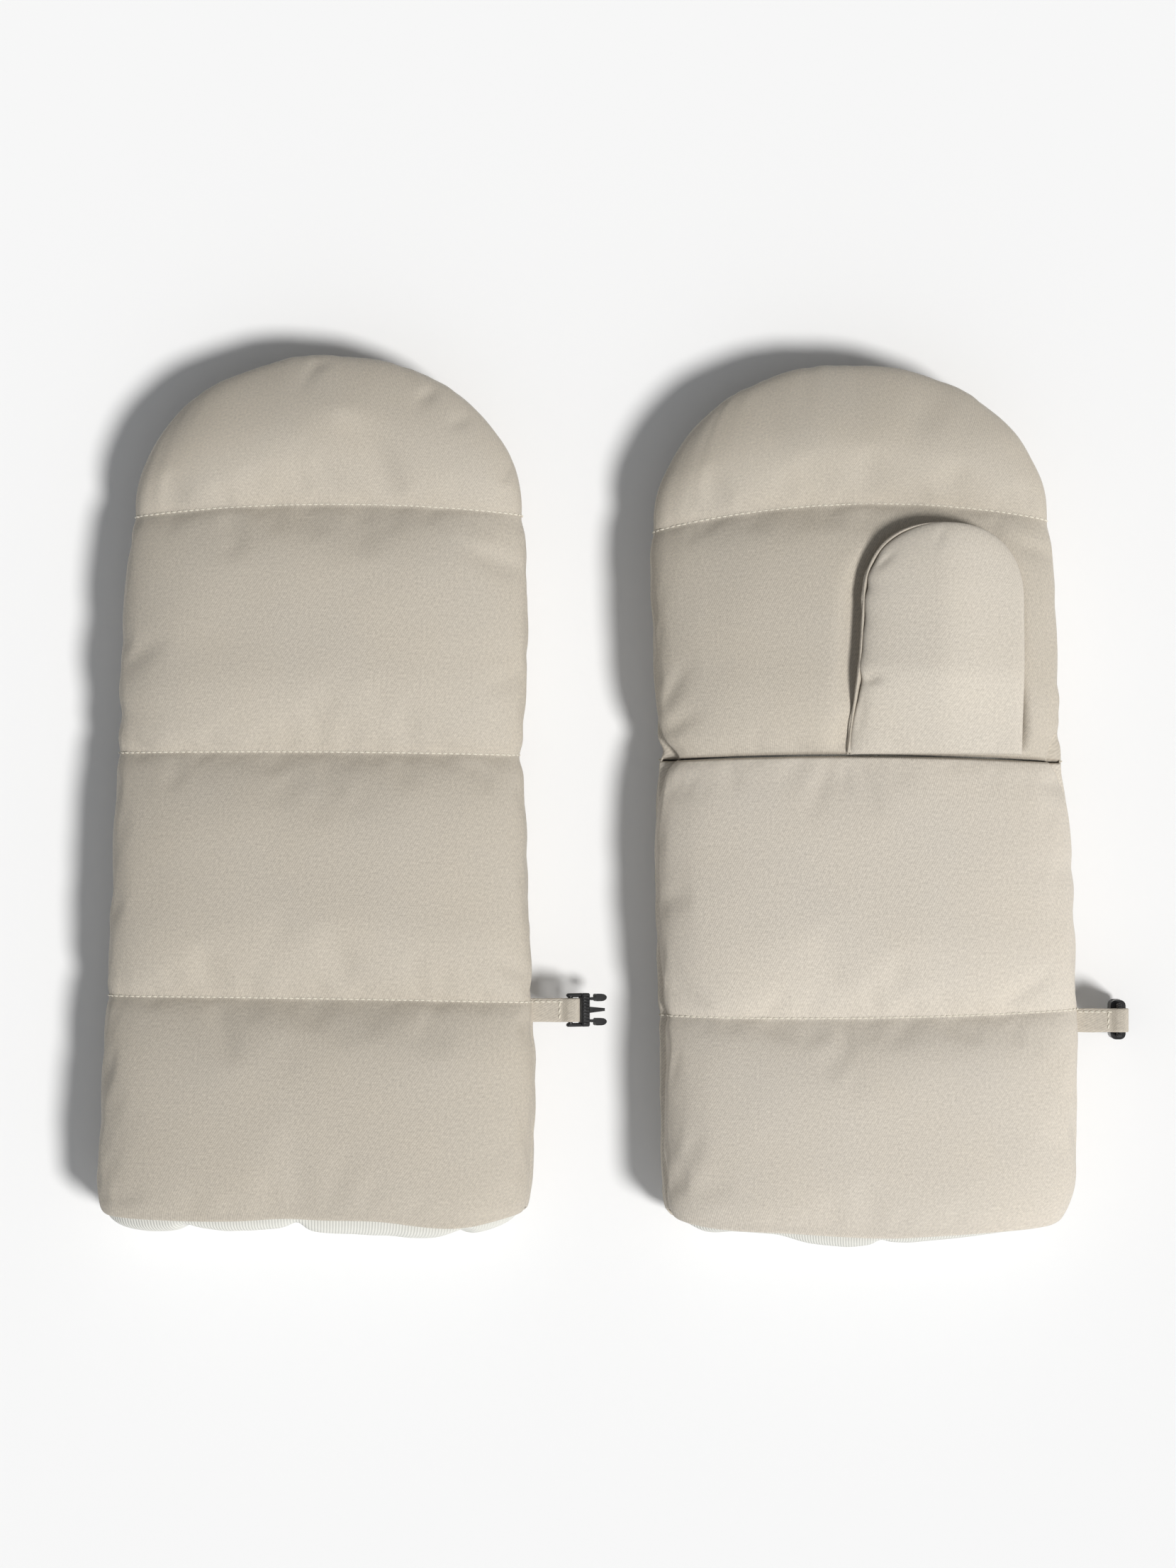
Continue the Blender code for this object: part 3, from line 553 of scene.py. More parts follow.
def thumb_outline(t):
    """Outline of the pouch from the left end of its base (0) to its tip and on round the dome."""
    if t < OUTLINE_SIDE:
        reach = THUMB_BODY * t / OUTLINE_SIDE
        return thumb_edges(reach)[0], reach
    angle = math.pi * (1 - (t - OUTLINE_SIDE) / OUTLINE_SIDE)
    x, y = squared(math.cos(angle), math.sin(angle))
    left, right = thumb_edges(THUMB_BODY)
    return (left + right) / 2 + (right - left) / 2 * x, THUMB_BODY + THUMB_DOME_LENGTH * y


def squared(x, y):
    """Turns a place in a disc into one in a slightly squarer dome."""
    radius = math.hypot(x, y)
    if radius == 0:
        return x, y
    power = 2 + (THUMB_SQUARE - 2) * radius
    scale = (abs(x / radius) ** power + abs(y / radius) ** power) ** (-1 / power)
    return x * scale, y * scale


class Thumb:
    """The pouch of a mitten: z is measured from the side seams away from the palm's inside."""

    def __init__(self, mitten, edge_high, edge_low, thickness):
        self.mitten = mitten
        self.edge_high = edge_high
        self.edge_low = edge_low
        self.thickness = thickness
        self.seam_y = mitten.line_y(2, THUMB_SHARE)

    def edge_z(self, x_share, far=1.0):
        share = smooth_step((x_share + 0.1) / 1.1)
        edge = self.edge_high + (self.edge_low - self.edge_high) * share
        start = PALM_RISE - CHANNEL_DEPTH - BASE_FALL * smooth_step(x_share / 0.9)
        return start + (edge - start) * smooth_step(far / 0.040)

    def place(self, u, row, inset, depth):
        """Where a place passes in plan: inset on the lip's side only, depth on every side."""
        reach, along = row
        x_share = across_share(u)
        dome_x, dome_y, radius = disc_point(x_share, along)
        left, right = thumb_edges(reach)
        left += inset + depth
        if inset:
            drawn = (reach - LIP_NOTCH[0]) / LIP_NOTCH[1]
            left += LIP_NOTCH[2] * math.exp(-(drawn**2))
            left += 0.0018 * self.mitten.bump(reach, along * 0.04, 0.012, 17.0)
        right -= depth
        if along:
            dome_x, dome_y = squared(dome_x, dome_y)
        tip = inset * (1 - smooth_step((dome_x + 0.7) / 0.7))
        x = (left + right) / 2 + (right - left) / 2 * dome_x
        return x, reach + (THUMB_DOME_LENGTH - tip - depth) * dome_y, dome_x, radius

    def front_z(self, x, far, x_share, radius):
        edge = self.edge_z(x_share, far) - FRONT_SINK * (1 - smooth_step(x_share))
        rounding = crown(max(1 - far / THUMB_BASE_ROUND, 0.0))
        puff = THUMB_CROWN * (1 - 0.2 * smooth_step(x_share))
        bump = self.mitten.bump(x, far, 0.034, 4.0) * 0.0006
        rise = (puff * rounding + bump * smooth_step(far / 0.02)) * crown(radius)
        return edge + rise - fold_depth(THUMB_FOLDS, x, far)

    def back_z(self, far, x_share, radius):
        """The half on the palm, which hangs clear of it near the outline."""
        bulge = (self.thickness - THUMB_CROWN) * (1 - min(radius, 1.0) ** 8)
        return self.edge_z(x_share, far) - 0.0008 - bulge * smooth_step(far / THUMB_ROOT)


THUMB_FOLDS = metres((
    (0, 33.5, 10, 8, 1.5, 2.8), (-4, 18, 20, 82, 1.6, 0.8), (6, 85, 10, 40, 1.3, 1),
    (30, 96, 10, 60, 1.6, 0.6), (56, 6, 12, 20, 2, 0.6), (10, 5, 12, 150, 2.2, 0.6),
), 3)


def thumb_hollow(mitten, x, y, height):
    """How far the pouch presses the palm in at a place."""
    thumb = THUMBS[mitten.name]
    reach = y - thumb.seam_y
    if reach <= 0:
        return 0.0
    left, right = thumb_edges(reach)
    share = (x - (left + right) / 2) / ((right - left) / 2 + THUMB_MARGIN)
    tip = max(reach - THUMB_BODY, 0.0) / (THUMB_DOME_LENGTH + THUMB_MARGIN)
    radius = math.hypot(share, tip)
    if radius > HOLLOW_REACH:
        return 0.0
    inner = max(min(share, 1.0), -1.0)
    under = thumb.back_z(reach, inner, min(radius, 1.0)) - HOLLOW_GAP
    limit = min(under, PALM_RISE - HOLLOW_DEPTH)
    beyond = max(radius - 1, 0.0)
    slow = 0.3 + 0.7 * smooth_step(share + 0.6)
    limit += (HOLLOW_SLOPE * beyond + HOLLOW_BEND * beyond * beyond) * slow
    need = height - limit
    fade = smooth_step(reach / 0.005)
    return fade * (need + math.sqrt(need * need + HOLLOW_SOFTNESS)) / 2


def body_rows():
    """Rows from the hem to the fingertips, closer together at the lines of stitches."""
    rows = []
    for index in range(3):
        length = LEFT_LINES[index + 1][1] - LEFT_LINES[index][1]
        steps = round(length / ROW_STEP)
        for step in range(steps):
            share = step / steps
            eased = 0.5 - 0.5 * math.cos(math.pi * share)
            rows.append((index, 0.45 * share + 0.55 * eased, 0.0))
    for step in range(DOME_ROWS + 1):
        rows.append((3, 0.0, abs(across_share(step / DOME_ROWS))))
    return rows


ROWS = body_rows()


def mesh_piece(name, build, material):
    """Turns a built mesh into a smooth piece of one material."""
    for face in build.faces:
        face.smooth = True
    mesh = bpy.data.meshes.new(name)
    build.to_mesh(mesh)
    build.free()
    piece = bpy.data.objects.new(name, mesh)
    bpy.context.scene.collection.objects.link(piece)
    mesh.materials.append(material)
    return piece


def grid_piece(name, columns, rows, place, material, weave):
    """A sheet piece: place turns (u, row) into a point, weave into its cloth coordinates.

    u is the even place across, from -1 to 1.
    """
    grid = bmesh.new()
    bmesh.ops.create_grid(grid, x_segments=columns, y_segments=rows, size=1)
    layer = grid.loops.layers.uv.new("weave")
    home = {}
    for vertex in grid.verts:
        column = round((vertex.co.x + 1) / 2 * columns)
        row = round((vertex.co.y + 1) / 2 * rows)
        home[vertex] = (2 * column / columns - 1, row)
    for vertex, spot in home.items():
        vertex.co = place(*spot)
    for face in grid.faces:
        for loop in face.loops:
            loop[layer].uv = weave(*home[loop.vert])
    return mesh_piece(name, grid, material)


def face_outwards(piece, inside):
    """Turns the faces so that they look away from a point inside the piece."""
    mesh = piece.data
    score = 0.0
    for face in mesh.polygons:
        score += (face.center - inside).dot(face.normal) * face.area
    if score < 0:
        mesh.flip_normals()


def thicken(piece, thickness, offset=-1.0):
    solid = piece.modifiers.new("thickness", "SOLIDIFY")
    solid.thickness = thickness
    solid.offset = offset
    fine = piece.modifiers.new("fine", "SUBSURF")
    fine.levels = 1
    fine.render_levels = 1


def relax_cloth(piece, held):
    """Inflates a sheet held at some of its points, with spare cloth that puckers at them."""
    group = piece.vertex_groups.new(name="held")
    group.add(held, 1.0, "REPLACE")
    start = [vertex.co.copy() for vertex in piece.data.vertices]
    cloth = piece.modifiers.new("cloth", "CLOTH")
    settings = cloth.settings
    settings.quality = 5
    settings.mass = 0.2
    settings.air_damping = 4.0
    settings.tension_stiffness = 20
    settings.compression_stiffness = 20
    settings.shear_stiffness = 9
    settings.bending_stiffness = 1.2
    settings.shrink_min = -SPARE_CLOTH
    settings.vertex_group_mass = "held"
    settings.use_pressure = True
    settings.uniform_pressure_force = PUFF_PRESSURE
    settings.effector_weights.gravity = 0.0
    cloth.point_cache.frame_start = 1
    cloth.point_cache.frame_end = PUFF_FRAMES
    for step in range(1, PUFF_FRAMES + 1):
        bpy.context.scene.frame_set(step)
    graph = bpy.context.evaluated_depsgraph_get()
    solved = [vertex.co.copy() for vertex in piece.evaluated_get(graph).data.vertices]
    piece.modifiers.remove(cloth)
    piece.vertex_groups.remove(group)
    for vertex, old, new in zip(piece.data.vertices, start, solved):
        move = new - old
        if move.length > PUFF_CAP:
            move *= PUFF_CAP / move.length
        place = old + move
        vertex.co = (place.x, place.y, max(place.z, FLOOR_GAP))
    bpy.context.scene.frame_set(1)


def settle(piece):
    """Turns a piece and its modifiers into one final mesh."""
    graph = bpy.context.evaluated_depsgraph_get()
    mesh = bpy.data.meshes.new_from_object(piece.evaluated_get(graph))
    piece.modifiers.clear()
    piece.data = mesh


def dress(piece, body, nodes):
    if body:
        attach(piece, body)
    if nodes:
        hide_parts(*nodes)


def layer_nodes(mitten, part, *layers):
    return [f"{mitten.name}_{part}_{layer}" for layer in layers]


def new_material(name):
    material = bpy.data.materials.new(name)
    material.use_nodes = True
    tree = material.node_tree
    return material, tree, tree.nodes["Principled BSDF"]


def feed(tree, socket, value):
    """Links a socket, or sets the value that it has of its own."""
    if isinstance(value, bpy.types.NodeSocket):
        tree.links.new(value, socket)
    elif socket.type == "RGBA":
        socket.default_value = (*value, 1.0)
    else:
        socket.default_value = value


def set_sockets(tree, node, **values):
    for name, value in values.items():
        feed(tree, node.inputs[name.replace("_", " ")], value)


def add_node(tree, kind, settings, **sockets):
    node = tree.nodes.new(kind)
    for key, value in settings.items():
        setattr(node, key, value)
    set_sockets(tree, node, **sockets)
    return node


def math_node(tree, operation, *values):
    node = add_node(tree, "ShaderNodeMath", {"operation": operation})
    for socket, value in zip(node.inputs, values):
        feed(tree, socket, value)
    return node.outputs[0]


def times(tree, value, factor):
    return math_node(tree, "MULTIPLY", value, factor)


def direction_of(tree, place, index):
    return add_node(tree, "ShaderNodeSeparateXYZ", {}, Vector=place).outputs[index]


def ribs_node(tree, place, pitch):
    """A wave across the first direction of a place."""
    return math_node(tree, "SINE", times(tree, direction_of(tree, place, 0), 2 * math.pi / pitch))


def noise_node(tree, place, scale, detail=2.0, roughness=0.5):
    node = add_node(tree, "ShaderNodeTexNoise", {}, Vector=place, Scale=scale, Detail=detail,
                    Roughness=roughness)
    return node.outputs["Fac"]


def bump_normal(tree, height, strength, distance):
    node = add_node(tree, "ShaderNodeBump", {}, Height=height, Strength=strength, Distance=distance)
    return node.outputs[0]


def mix_colours(tree, factor, first, second, blend="MIX"):
    node = add_node(tree, "ShaderNodeMix", {"data_type": "RGBA", "blend_type": blend})
    for index, value in ((0, factor), (6, first), (7, second)):
        feed(tree, node.inputs[index], value)
    return node.outputs[2]


def shade(colour, factor):
    return tuple(min(channel * factor, 1.0) for channel in colour)


def twill_material(name):
    """Fine twill: diagonal ribs, yarns of slightly unlike tone, and large faint patches."""
    material, tree, shader = new_material(name)
    uv = add_node(tree, "ShaderNodeUVMap", {"uv_map": "weave"}).outputs[0]
    turned = add_node(tree, "ShaderNodeVectorRotate", {"rotation_type": "Z_AXIS"}, Vector=uv,
                      Angle=math.radians(TWILL_ANGLE))
    ribs = math_node(tree, "MULTIPLY_ADD", ribs_node(tree, turned.outputs[0], TWILL_PITCH), 0.5, 0.5)
    stretched = add_node(tree, "ShaderNodeMapping", {}, Vector=uv, Scale=(260.0, 1400.0, 1.0),
                         Rotation=(0.0, 0.0, math.radians(TWILL_ANGLE - 90)))
    yarn = noise_node(tree, uv, 1500.0, 2.0, 0.6)
    slub = noise_node(tree, stretched.outputs[0], 1.0, 2.0, 0.55)
    patch = noise_node(tree, uv, 22.0, 3.0)
    mottle = noise_node(tree, uv, 820.0, 2.5, 0.62)
    base = COLOURS[name]
    colour = mix_colours(tree, yarn, shade(base, 0.86), shade(base, 1.14))
    colour = mix_colours(tree, times(tree, slub, 0.45), colour, shade(base, 1.22))
    colour = mix_colours(tree, times(tree, ribs, 0.30), colour, shade(base, 0.62))
    warm = mix_colours(tree, patch, (0.965, 0.975, 0.995), (1.03, 1.02, 1.0))
    colour = mix_colours(tree, 1.0, colour, warm, "MULTIPLY")
    grain = mix_colours(tree, mottle, (0.68, 0.68, 0.69), (1.32, 1.32, 1.31))
    colour = mix_colours(tree, 1.0, colour, grain, "MULTIPLY")
    rough = math_node(tree, "MULTIPLY_ADD", yarn, 0.16, 0.60)
    height = math_node(tree, "ADD", times(tree, ribs, 0.6), slub)
    normal = bump_normal(tree, height, 0.35, 0.00016)
    set_sockets(tree, shader, Base_Color=colour, Roughness=rough, Specular_IOR_Level=0.28,
                Sheen_Weight=0.12, Sheen_Roughness=0.45, Normal=normal)
    return material


def lining_material():
    """Off-white ribbed cotton with small tan dots set far apart."""
    material, tree, shader = new_material("ribbed_lining")
    uv = add_node(tree, "ShaderNodeUVMap", {"uv_map": "weave"}).outputs[0]
    ribs = ribs_node(tree, uv, LINING_PITCH)
    soft = noise_node(tree, uv, 420.0, 3.0, 0.6)
    base = COLOURS["lining"]
    colour = mix_colours(tree, soft, shade(base, 0.95), shade(base, 1.05))
    shadow = times(tree, math_node(tree, "ADD", ribs, 1.0), 0.035)
    colour = mix_colours(tree, shadow, colour, shade(base, 0.55))
    dots = add_node(tree, "ShaderNodeTexVoronoi", {}, Vector=uv, Scale=DOTS_PER_METRE, Randomness=0.35)
    inside = math_node(tree, "LESS_THAN", dots.outputs["Distance"], DOT_SHARE)
    colour = mix_colours(tree, times(tree, inside, 0.8), colour, COLOURS["dot"])
    height = math_node(tree, "ADD", ribs, times(tree, soft, 1.5))
    normal = bump_normal(tree, height, 0.5, 0.00022)
    set_sockets(tree, shader, Base_Color=colour, Roughness=0.85, Specular_IOR_Level=0.2,
                Sheen_Weight=0.15, Normal=normal)
    return material


def thread_material():
    """Two-ply sewing thread: fine slanted ridges and a soft shine."""
    material, tree, shader = new_material("sewing_thread")
    place = add_node(tree, "ShaderNodeTexCoord", {}).outputs["Object"]
    wave = add_node(tree, "ShaderNodeTexWave", {}, Vector=place, Scale=900.0, Distortion=1.5)
    ply = wave.outputs["Fac"]
    base = COLOURS["thread"]
    colour = mix_colours(tree, ply, shade(base, 0.84), shade(base, 1.1))
    set_sockets(tree, shader, Base_Color=colour, Roughness=0.55, Sheen_Weight=0.2,
                Normal=bump_normal(tree, ply, 0.5, 0.0001))
    return material


def plastic_material():
    """Black moulded plastic with a fine spark-eroded grain and rubbed patches spread over it."""
    material, tree, shader = new_material("buckle_plastic")
    place = add_node(tree, "ShaderNodeTexCoord", {}).outputs["Object"]
    grain = noise_node(tree, place, 2600.0)
    rub = noise_node(tree, place, 240.0, 3.0)
    base = COLOURS["plastic"]
    colour = mix_colours(tree, rub, shade(base, 0.7), shade(base, 1.5))
    rough = math_node(tree, "MULTIPLY_ADD", rub, 0.22, 0.22)
    set_sockets(tree, shader, Base_Color=colour, Roughness=rough,
                Normal=bump_normal(tree, grain, 0.25, 0.00005))
    return material


def floor_material():
    material, tree, shader = new_material("pale_floor")
    set_sockets(tree, shader, Base_Color=COLOURS["floor"], Roughness=0.9, Specular_IOR_Level=0.1)
    return material


MATERIALS = {name: twill_material(name) for name in COLOURS if name.endswith("twill")}
MATERIALS["lining"] = lining_material()
MATERIALS["thread"] = thread_material()
MATERIALS["plastic"] = plastic_material()

# On the right mitten the palm and the pouch's front take the twill copies painted lighter: painted light
CLOTHS = {
    "left": dict.fromkeys(("back", "palm", "finger", "thumb", "strap"), "left_twill"),
    "right": {"back": "finger_twill", "palm": "palm_twill", "finger": "finger_twill",
              "thumb": "thumb_twill", "strap": "finger_twill"},
}


def weave_place(u, row):
    """Flat cloth coordinates of a body row, so that the weave follows the cloth."""
    index, share, along = row
    lengths = [middle for _, middle, _ in LEFT_LINES]
    y = lengths[index]
    if index < 3:
        y += (lengths[index + 1] - lengths[index]) * share
    y += along * (DOME_LENGTH + 0.5 * BACK_RISE)
    return u * BODY_WEAVE, y


def cloth_of(mitten, part):
    return MATERIALS[CLOTHS[mitten.name][part]]


def panel(mitten, part, half, rows, held_rows, tuck=()):
    """An outer panel of a half, inflated between its seams and lines of stitches.

    tuck lists (row, distance towards the tips, depth) of rows that are folded in.
    """
    outwards = mitten.flip if half == "back" else -mitten.flip
    folded = {row: (far, depth) for row, far, depth in tuck}

    def place(u, row):
        spot = mitten.point(half, spread(u), rows[row])
        if row in folded:
            spot.y += folded[row][0]
            spot.z -= folded[row][1] * outwards
        return spot

    def weave(u, row):
        return weave_place(spread(u), rows[row])

    name = f"{mitten.name}_{part}_panel"
    piece = grid_piece(name, COLUMNS, len(rows) - 1, place, cloth_of(mitten, part), weave)
    face_outwards(piece, mitten.world(*INSIDE))
    held = []
    for vertex in piece.data.vertices:
        column, row = vertex.index % (COLUMNS + 1), vertex.index // (COLUMNS + 1)
        if column in (0, COLUMNS) or row in held_rows:
            held.append(vertex.index)
    relax_cloth(piece, held)
    thicken(piece, CLOTH)
    dress(piece, mitten.body, layer_nodes(mitten, part, "shell", "wadding"))


def bag_weave(u, far):
    return u * BAG_WEAVE, far


def rim_piece(mitten, half):
    """The puffed edge of the inner bag: from under the shell's hem round to the inner wall."""
    turns = [math.pi * step / RIM_TURNS for step in range(RIM_TURNS + 1)]

    def place(u, row):
        if row == 0:
            return mitten.point(half, u, (0, 0.08, 0.0), RIM_NEAR)
        if row == len(turns) + 1:
            return mitten.point(half, u, (0, 0.06, 0.0), WALL + RIM_OVERLAP)
        turn = turns[row - 1]
        depth = RIM_NEAR + (WALL - RIM_NEAR) * (1 - math.cos(turn)) / 2
        spot = mitten.point(half, u, (0, 0.0, 0.0), depth)
        x_share = across_share(u)
        proud = mitten.rim.at(x_share)
        proud += 0.0005 * mitten.bump(x_share, 0.0, 0.11, 3.0) * min(proud / 0.003, 1.0)
        spot.y -= max(proud, 0.0) * math.sin(turn) ** 0.8
        return spot

    def weave(u, row):
        return bag_weave(u, 0.0016 * (row - len(turns) - 1))

    name = f"{mitten.name}_{half}_rim_roll"
    piece = grid_piece(name, COLUMNS, len(turns) + 1, place, MATERIALS["lining"], weave)
    face_outwards(piece, mitten.world(0, 0.01, 0))
    thicken(piece, CLOTH)
    dress(piece, mitten.body, layer_nodes(mitten, half, "rim"))


def lining(mitten, half):
    """Half of the inner bag behind its rim."""
    body = [(0, 0.012, 0.0)] + ROWS[2::2]

    def place(u, row):
        return mitten.point(half, u, body[row], WALL)

    def weave(u, row):
        return bag_weave(u, weave_place(u, body[row])[1])

    name = f"{mitten.name}_{half}_bag"
    piece = grid_piece(name, COLUMNS, len(body) - 1, place, MATERIALS["lining"], weave)
    face_outwards(piece, mitten.world(*INSIDE))
    thicken(piece, CLOTH)
    dress(piece, mitten.body, layer_nodes(mitten, half, "lining"))


def thumb_rows(start):
    steps = round((THUMB_BODY - start) / THUMB_ROW_STEP)
    rows = [(start + (THUMB_BODY - start) * step / steps, 0.0) for step in range(steps)]
    for step in range(THUMB_TIP_ROWS + 1):
        rows.append((THUMB_BODY, abs(across_share(step / THUMB_TIP_ROWS))))
    return rows


def thumb_panel(thumb, side, material, start, depth):
    """One side of the pouch: its outer panel, or with a depth the half of its inner bag."""
    mitten = thumb.mitten
    front = side == "front"
    rows = thumb_rows(start)
    inset = FRONT_INSET if front or depth else 0.0
    sunk = BAG_SINK[side] if depth else 0.0

    def place(u, row):
        x, far, x_share, radius = thumb.place(u, rows[row], inset, depth)
        if front:
            z = thumb.front_z(x, far, x_share, radius) - depth * crown(radius)
        else:
            z = thumb.back_z(far, x_share, radius) + depth * crown(radius)
        z -= sunk * (1 - crown(radius))
        return mitten.world(x, thumb.seam_y + far, -z)

    def weave(u, row):
        reach, along = rows[row]
        return u * THUMB_WEAVE, reach + along * 0.04

    name = f"{mitten.name}_thumb_{side}_" + ("bag" if depth else "panel")
    piece = grid_piece(name, THUMB_COLUMNS, len(rows) - 1, place, material, weave)
    face_outwards(piece, mitten.world(THUMB_CENTRE, thumb.seam_y + 0.05, -thumb.edge_high))
    thicken(piece, CLOTH)
    part = "thumb_" + side
    if depth:
        dress(piece, mitten.name + "_thumb", layer_nodes(mitten, part, "lining"))
    else:
        bend_at_root(thumb, piece)
        dress(piece, None, layer_nodes(mitten, part, "shell", "wadding"))


def bend_at_root(thumb, piece):
    """Turns the pouch piece into one final mesh, with its place baked into its points."""
    settle(piece)
    start = thumb.mitten.world(THUMB_CENTRE, thumb.seam_y, -PALM_RISE)
    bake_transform(piece)


def thumb_lip(thumb, material):
    """The seam allowance that stands open along the pouch's left edge, from the base to the tip."""
    mitten = thumb.mitten

    def place(u, row):
        t = LIP_START + (LIP_END - LIP_START) * (u + 1) / 2
        step_in, drop = LIP_SECTION[row]
        x, far = thumb_outline(t)
        inward = Vector((THUMB_CENTRE - x, THUMB_HEART - far))
        if t < OUTLINE_SIDE:
            inward.y = 0.0
        inward.normalize()
        fade = smooth_step(t / 0.03) * (1 - smooth_step((t - LIP_END + 0.09) / 0.09))
        step_in += 0.0010 * mitten.bump(x, far, 0.0085, 12.0) * fade
        x += inward.x * step_in
        far += inward.y * step_in
        left, right = thumb_edges(far)
        x_share = max(min((2 * x - left - right) / (right - left), 1.0), -1.0)
        z = thumb.edge_z(x_share, far) - drop * (0.3 + 0.7 * fade) - 0.0012 * (1 - fade)
        z += 0.0008 * mitten.bump(x, far, 0.011, 15.0) * fade
        return mitten.world(x, thumb.seam_y + far, -z)

    def weave(u, row):
        return row * 0.0007, (u + 1) * 0.085

    strips = len(LIP_SECTION) - 1
    piece = grid_piece(mitten.name + "_thumb_lip", LIP_COLUMNS, strips, place, material, weave)
    thicken(piece, CLOTH * 0.5, 0.0)
    bend_at_root(thumb, piece)
    dress(piece, None, [])


def add_capsule(build, centre, axes, size, segments):
    """A ball stretched along three axes, added to a mesh that is being built."""
    turn = Matrix(axes).transposed().to_4x4()
    matrix = Matrix.Translation(centre) @ turn @ Matrix.Diagonal((*size, 1.0))
    bmesh.ops.create_uvsphere(build, u_segments=segments[0], v_segments=segments[1], radius=1.0,
                              matrix=matrix)


def add_stitch(build, centre, along, normal):
    side = along.cross(normal).normalized()
    tilt = (along + side * STITCH_TILT).normalized()
    across = normal.cross(tilt).normalized()
    size = (THREAD_RADIUS, THREAD_RADIUS, STITCH_LENGTH / 2)
    centre = centre + normal * THREAD_RADIUS * 0.5
    add_capsule(build, centre, (tilt.cross(across), across, -tilt), size, (8, 6))


def thread_piece(name, routes, body):
    """Stitches along routes, each a list of (point, normal): short slanted capsules in one mesh."""
    build = bmesh.new()
    for route in routes:
        travelled = 0.0
        due = STITCH_PITCH / 2
        for (start, normal), (end, _) in zip(route, route[1:]):
            step = (end - start).length
            while step > 0 and travelled + step >= due:
                centre = start.lerp(end, (due - travelled) / step)
                add_stitch(build, centre, (end - start).normalized(), normal)
                due += STITCH_PITCH
            travelled += step
    piece = mesh_piece(name, build, MATERIALS["thread"])
    if body:
        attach(piece, body)
    return piece


def quilting(mitten, half, indices):
    """The lines of stitches across a half."""
    routes = []
    sign = mitten.flip if half == "back" else -mitten.flip
    for index in indices:
        route = []
        for step in range(181):
            u = -0.985 + 1.97 * step / 180
            point = mitten.point(half, u, (index, 0.0, 0.0))
            beyond = mitten.point(half, u + 0.004, (index, 0.0, 0.0))
            tangent = (beyond - point).normalized()
            normal = tangent.cross(Vector((0, 1, 0))).normalized()
            if normal.z * sign < 0:
                normal = -normal
            route.append((point + normal * 0.0002, normal))
        routes.append(route)
    thread_piece(f"{mitten.name}_{half}_quilting", routes, mitten.body)


def build_mitten(mitten, thumb):
    line_rows = [next(i for i, row in enumerate(ROWS) if row[0] == k) for k in (1, 2, 3)]
    hem_rows = [0, 1, 2]
    panel(mitten, "back", "back", ROWS, [*hem_rows, *line_rows, len(ROWS) - 1])
    seam_row = line_rows[1]
    lower = ROWS[:seam_row] + [(1, 0.990, 0.0), (1, 0.999, 0.0)]
    last = len(lower) - 1
    held = [*hem_rows, line_rows[0], last - 1, last]
    panel(mitten, "palm", "palm", lower, held, ((last, -0.0002, 0.0030),))
    upper = [(2, 0.001, 0.0), (2, 0.010, 0.0)] + ROWS[seam_row + 1:]
    held = [0, 1, line_rows[2] - seam_row + 1, len(upper) - 1]
    panel(mitten, "finger", "palm", upper, held, ((0, -0.0006, 0.0040), (1, 0.0, 0.0004)))
    for half in ("back", "palm"):
        lining(mitten, half)
        rim_piece(mitten, half)
    quilting(mitten, "back", (1, 2, 3))
    quilting(mitten, "palm", (1, 3))
    # On the right mitten the pouch's back panel and lip take the finger twill, darker than the pouch's
    # lighter front: painted shade along the lip
    under = cloth_of(mitten, "finger")
    thumb_panel(thumb, "front", cloth_of(mitten, "thumb"), 0.0004, 0.0)
    thumb_panel(thumb, "back", under, 0.0012, 0.0)
    for side, depth in BAG_DEPTHS.items():
        thumb_panel(thumb, side, MATERIALS["lining"], THUMB_BAG_START, depth)
    thumb_lip(thumb, under)


def plastic_nodes():
    for name in ("left_buckle_body", "left_upper_prong", "left_lower_prong", "right_buckle_socket"):
        node = frame["nodes"][name]
        node.data.materials.clear()
        node.data.materials.append(MATERIALS["plastic"])


def strap_route(root, bar):
    """A strap's folded band in side view: out to the buckle's bar, round it and back."""
    taper = bar[0] - LOOP_TAPER
    sewn = root[0] - STRAP_SEWN_IN
    top = [(sewn + (taper - sewn) * step / 12, root[2] + STRAP_LAYER_GAP) for step in range(13)]
    for step in range(1, 7):
        share = step / 7
        lift = STRAP_LAYER_GAP + (LOOP_RADIUS - STRAP_LAYER_GAP) * smooth_step(share)
        top.append((taper + LOOP_TAPER * share, root[2] + lift))
    top.append((bar[0] + LOOP_SLACK / 2, root[2] + LOOP_RADIUS))
    turn = []
    for step in range(13):
        angle = math.pi / 2 - math.pi * step / 12
        x = bar[0] + LOOP_SLACK + LOOP_RADIUS * math.cos(angle)
        turn.append((x, bar[2] + LOOP_RADIUS * math.sin(angle)))
    bottom = [(x, 2 * root[2] - z) for x, z in reversed(top)]
    return top + turn + bottom


def strap_stitches(mitten, root, bar):
    """Stitches along a strap's edge, and a row of them across it before the loop."""
    edge = STRAP_WIDTH / 2 - TOPSTITCH_INSET
    end = bar[0] - LOOP_TAPER
    z = root[2] + STRAP_LAYER_GAP + TOPSTITCH_LIFT
    up = Vector((0, 0, 1))
    seam = []
    for step in range(16):
        x = root[0] + TOPSTITCH_START + (end - root[0]) * step / 15
        seam.append((Vector((x, root[1] + edge, z)), up))
    cross = []
    for step in range(7):
        y = root[1] + edge * (1 - 2 * step / 6)
        cross.append((Vector((end - TOPSTITCH_START, y, z)), up))
    return thread_piece(mitten.name + "_strap_topstitch", [seam, cross], None)


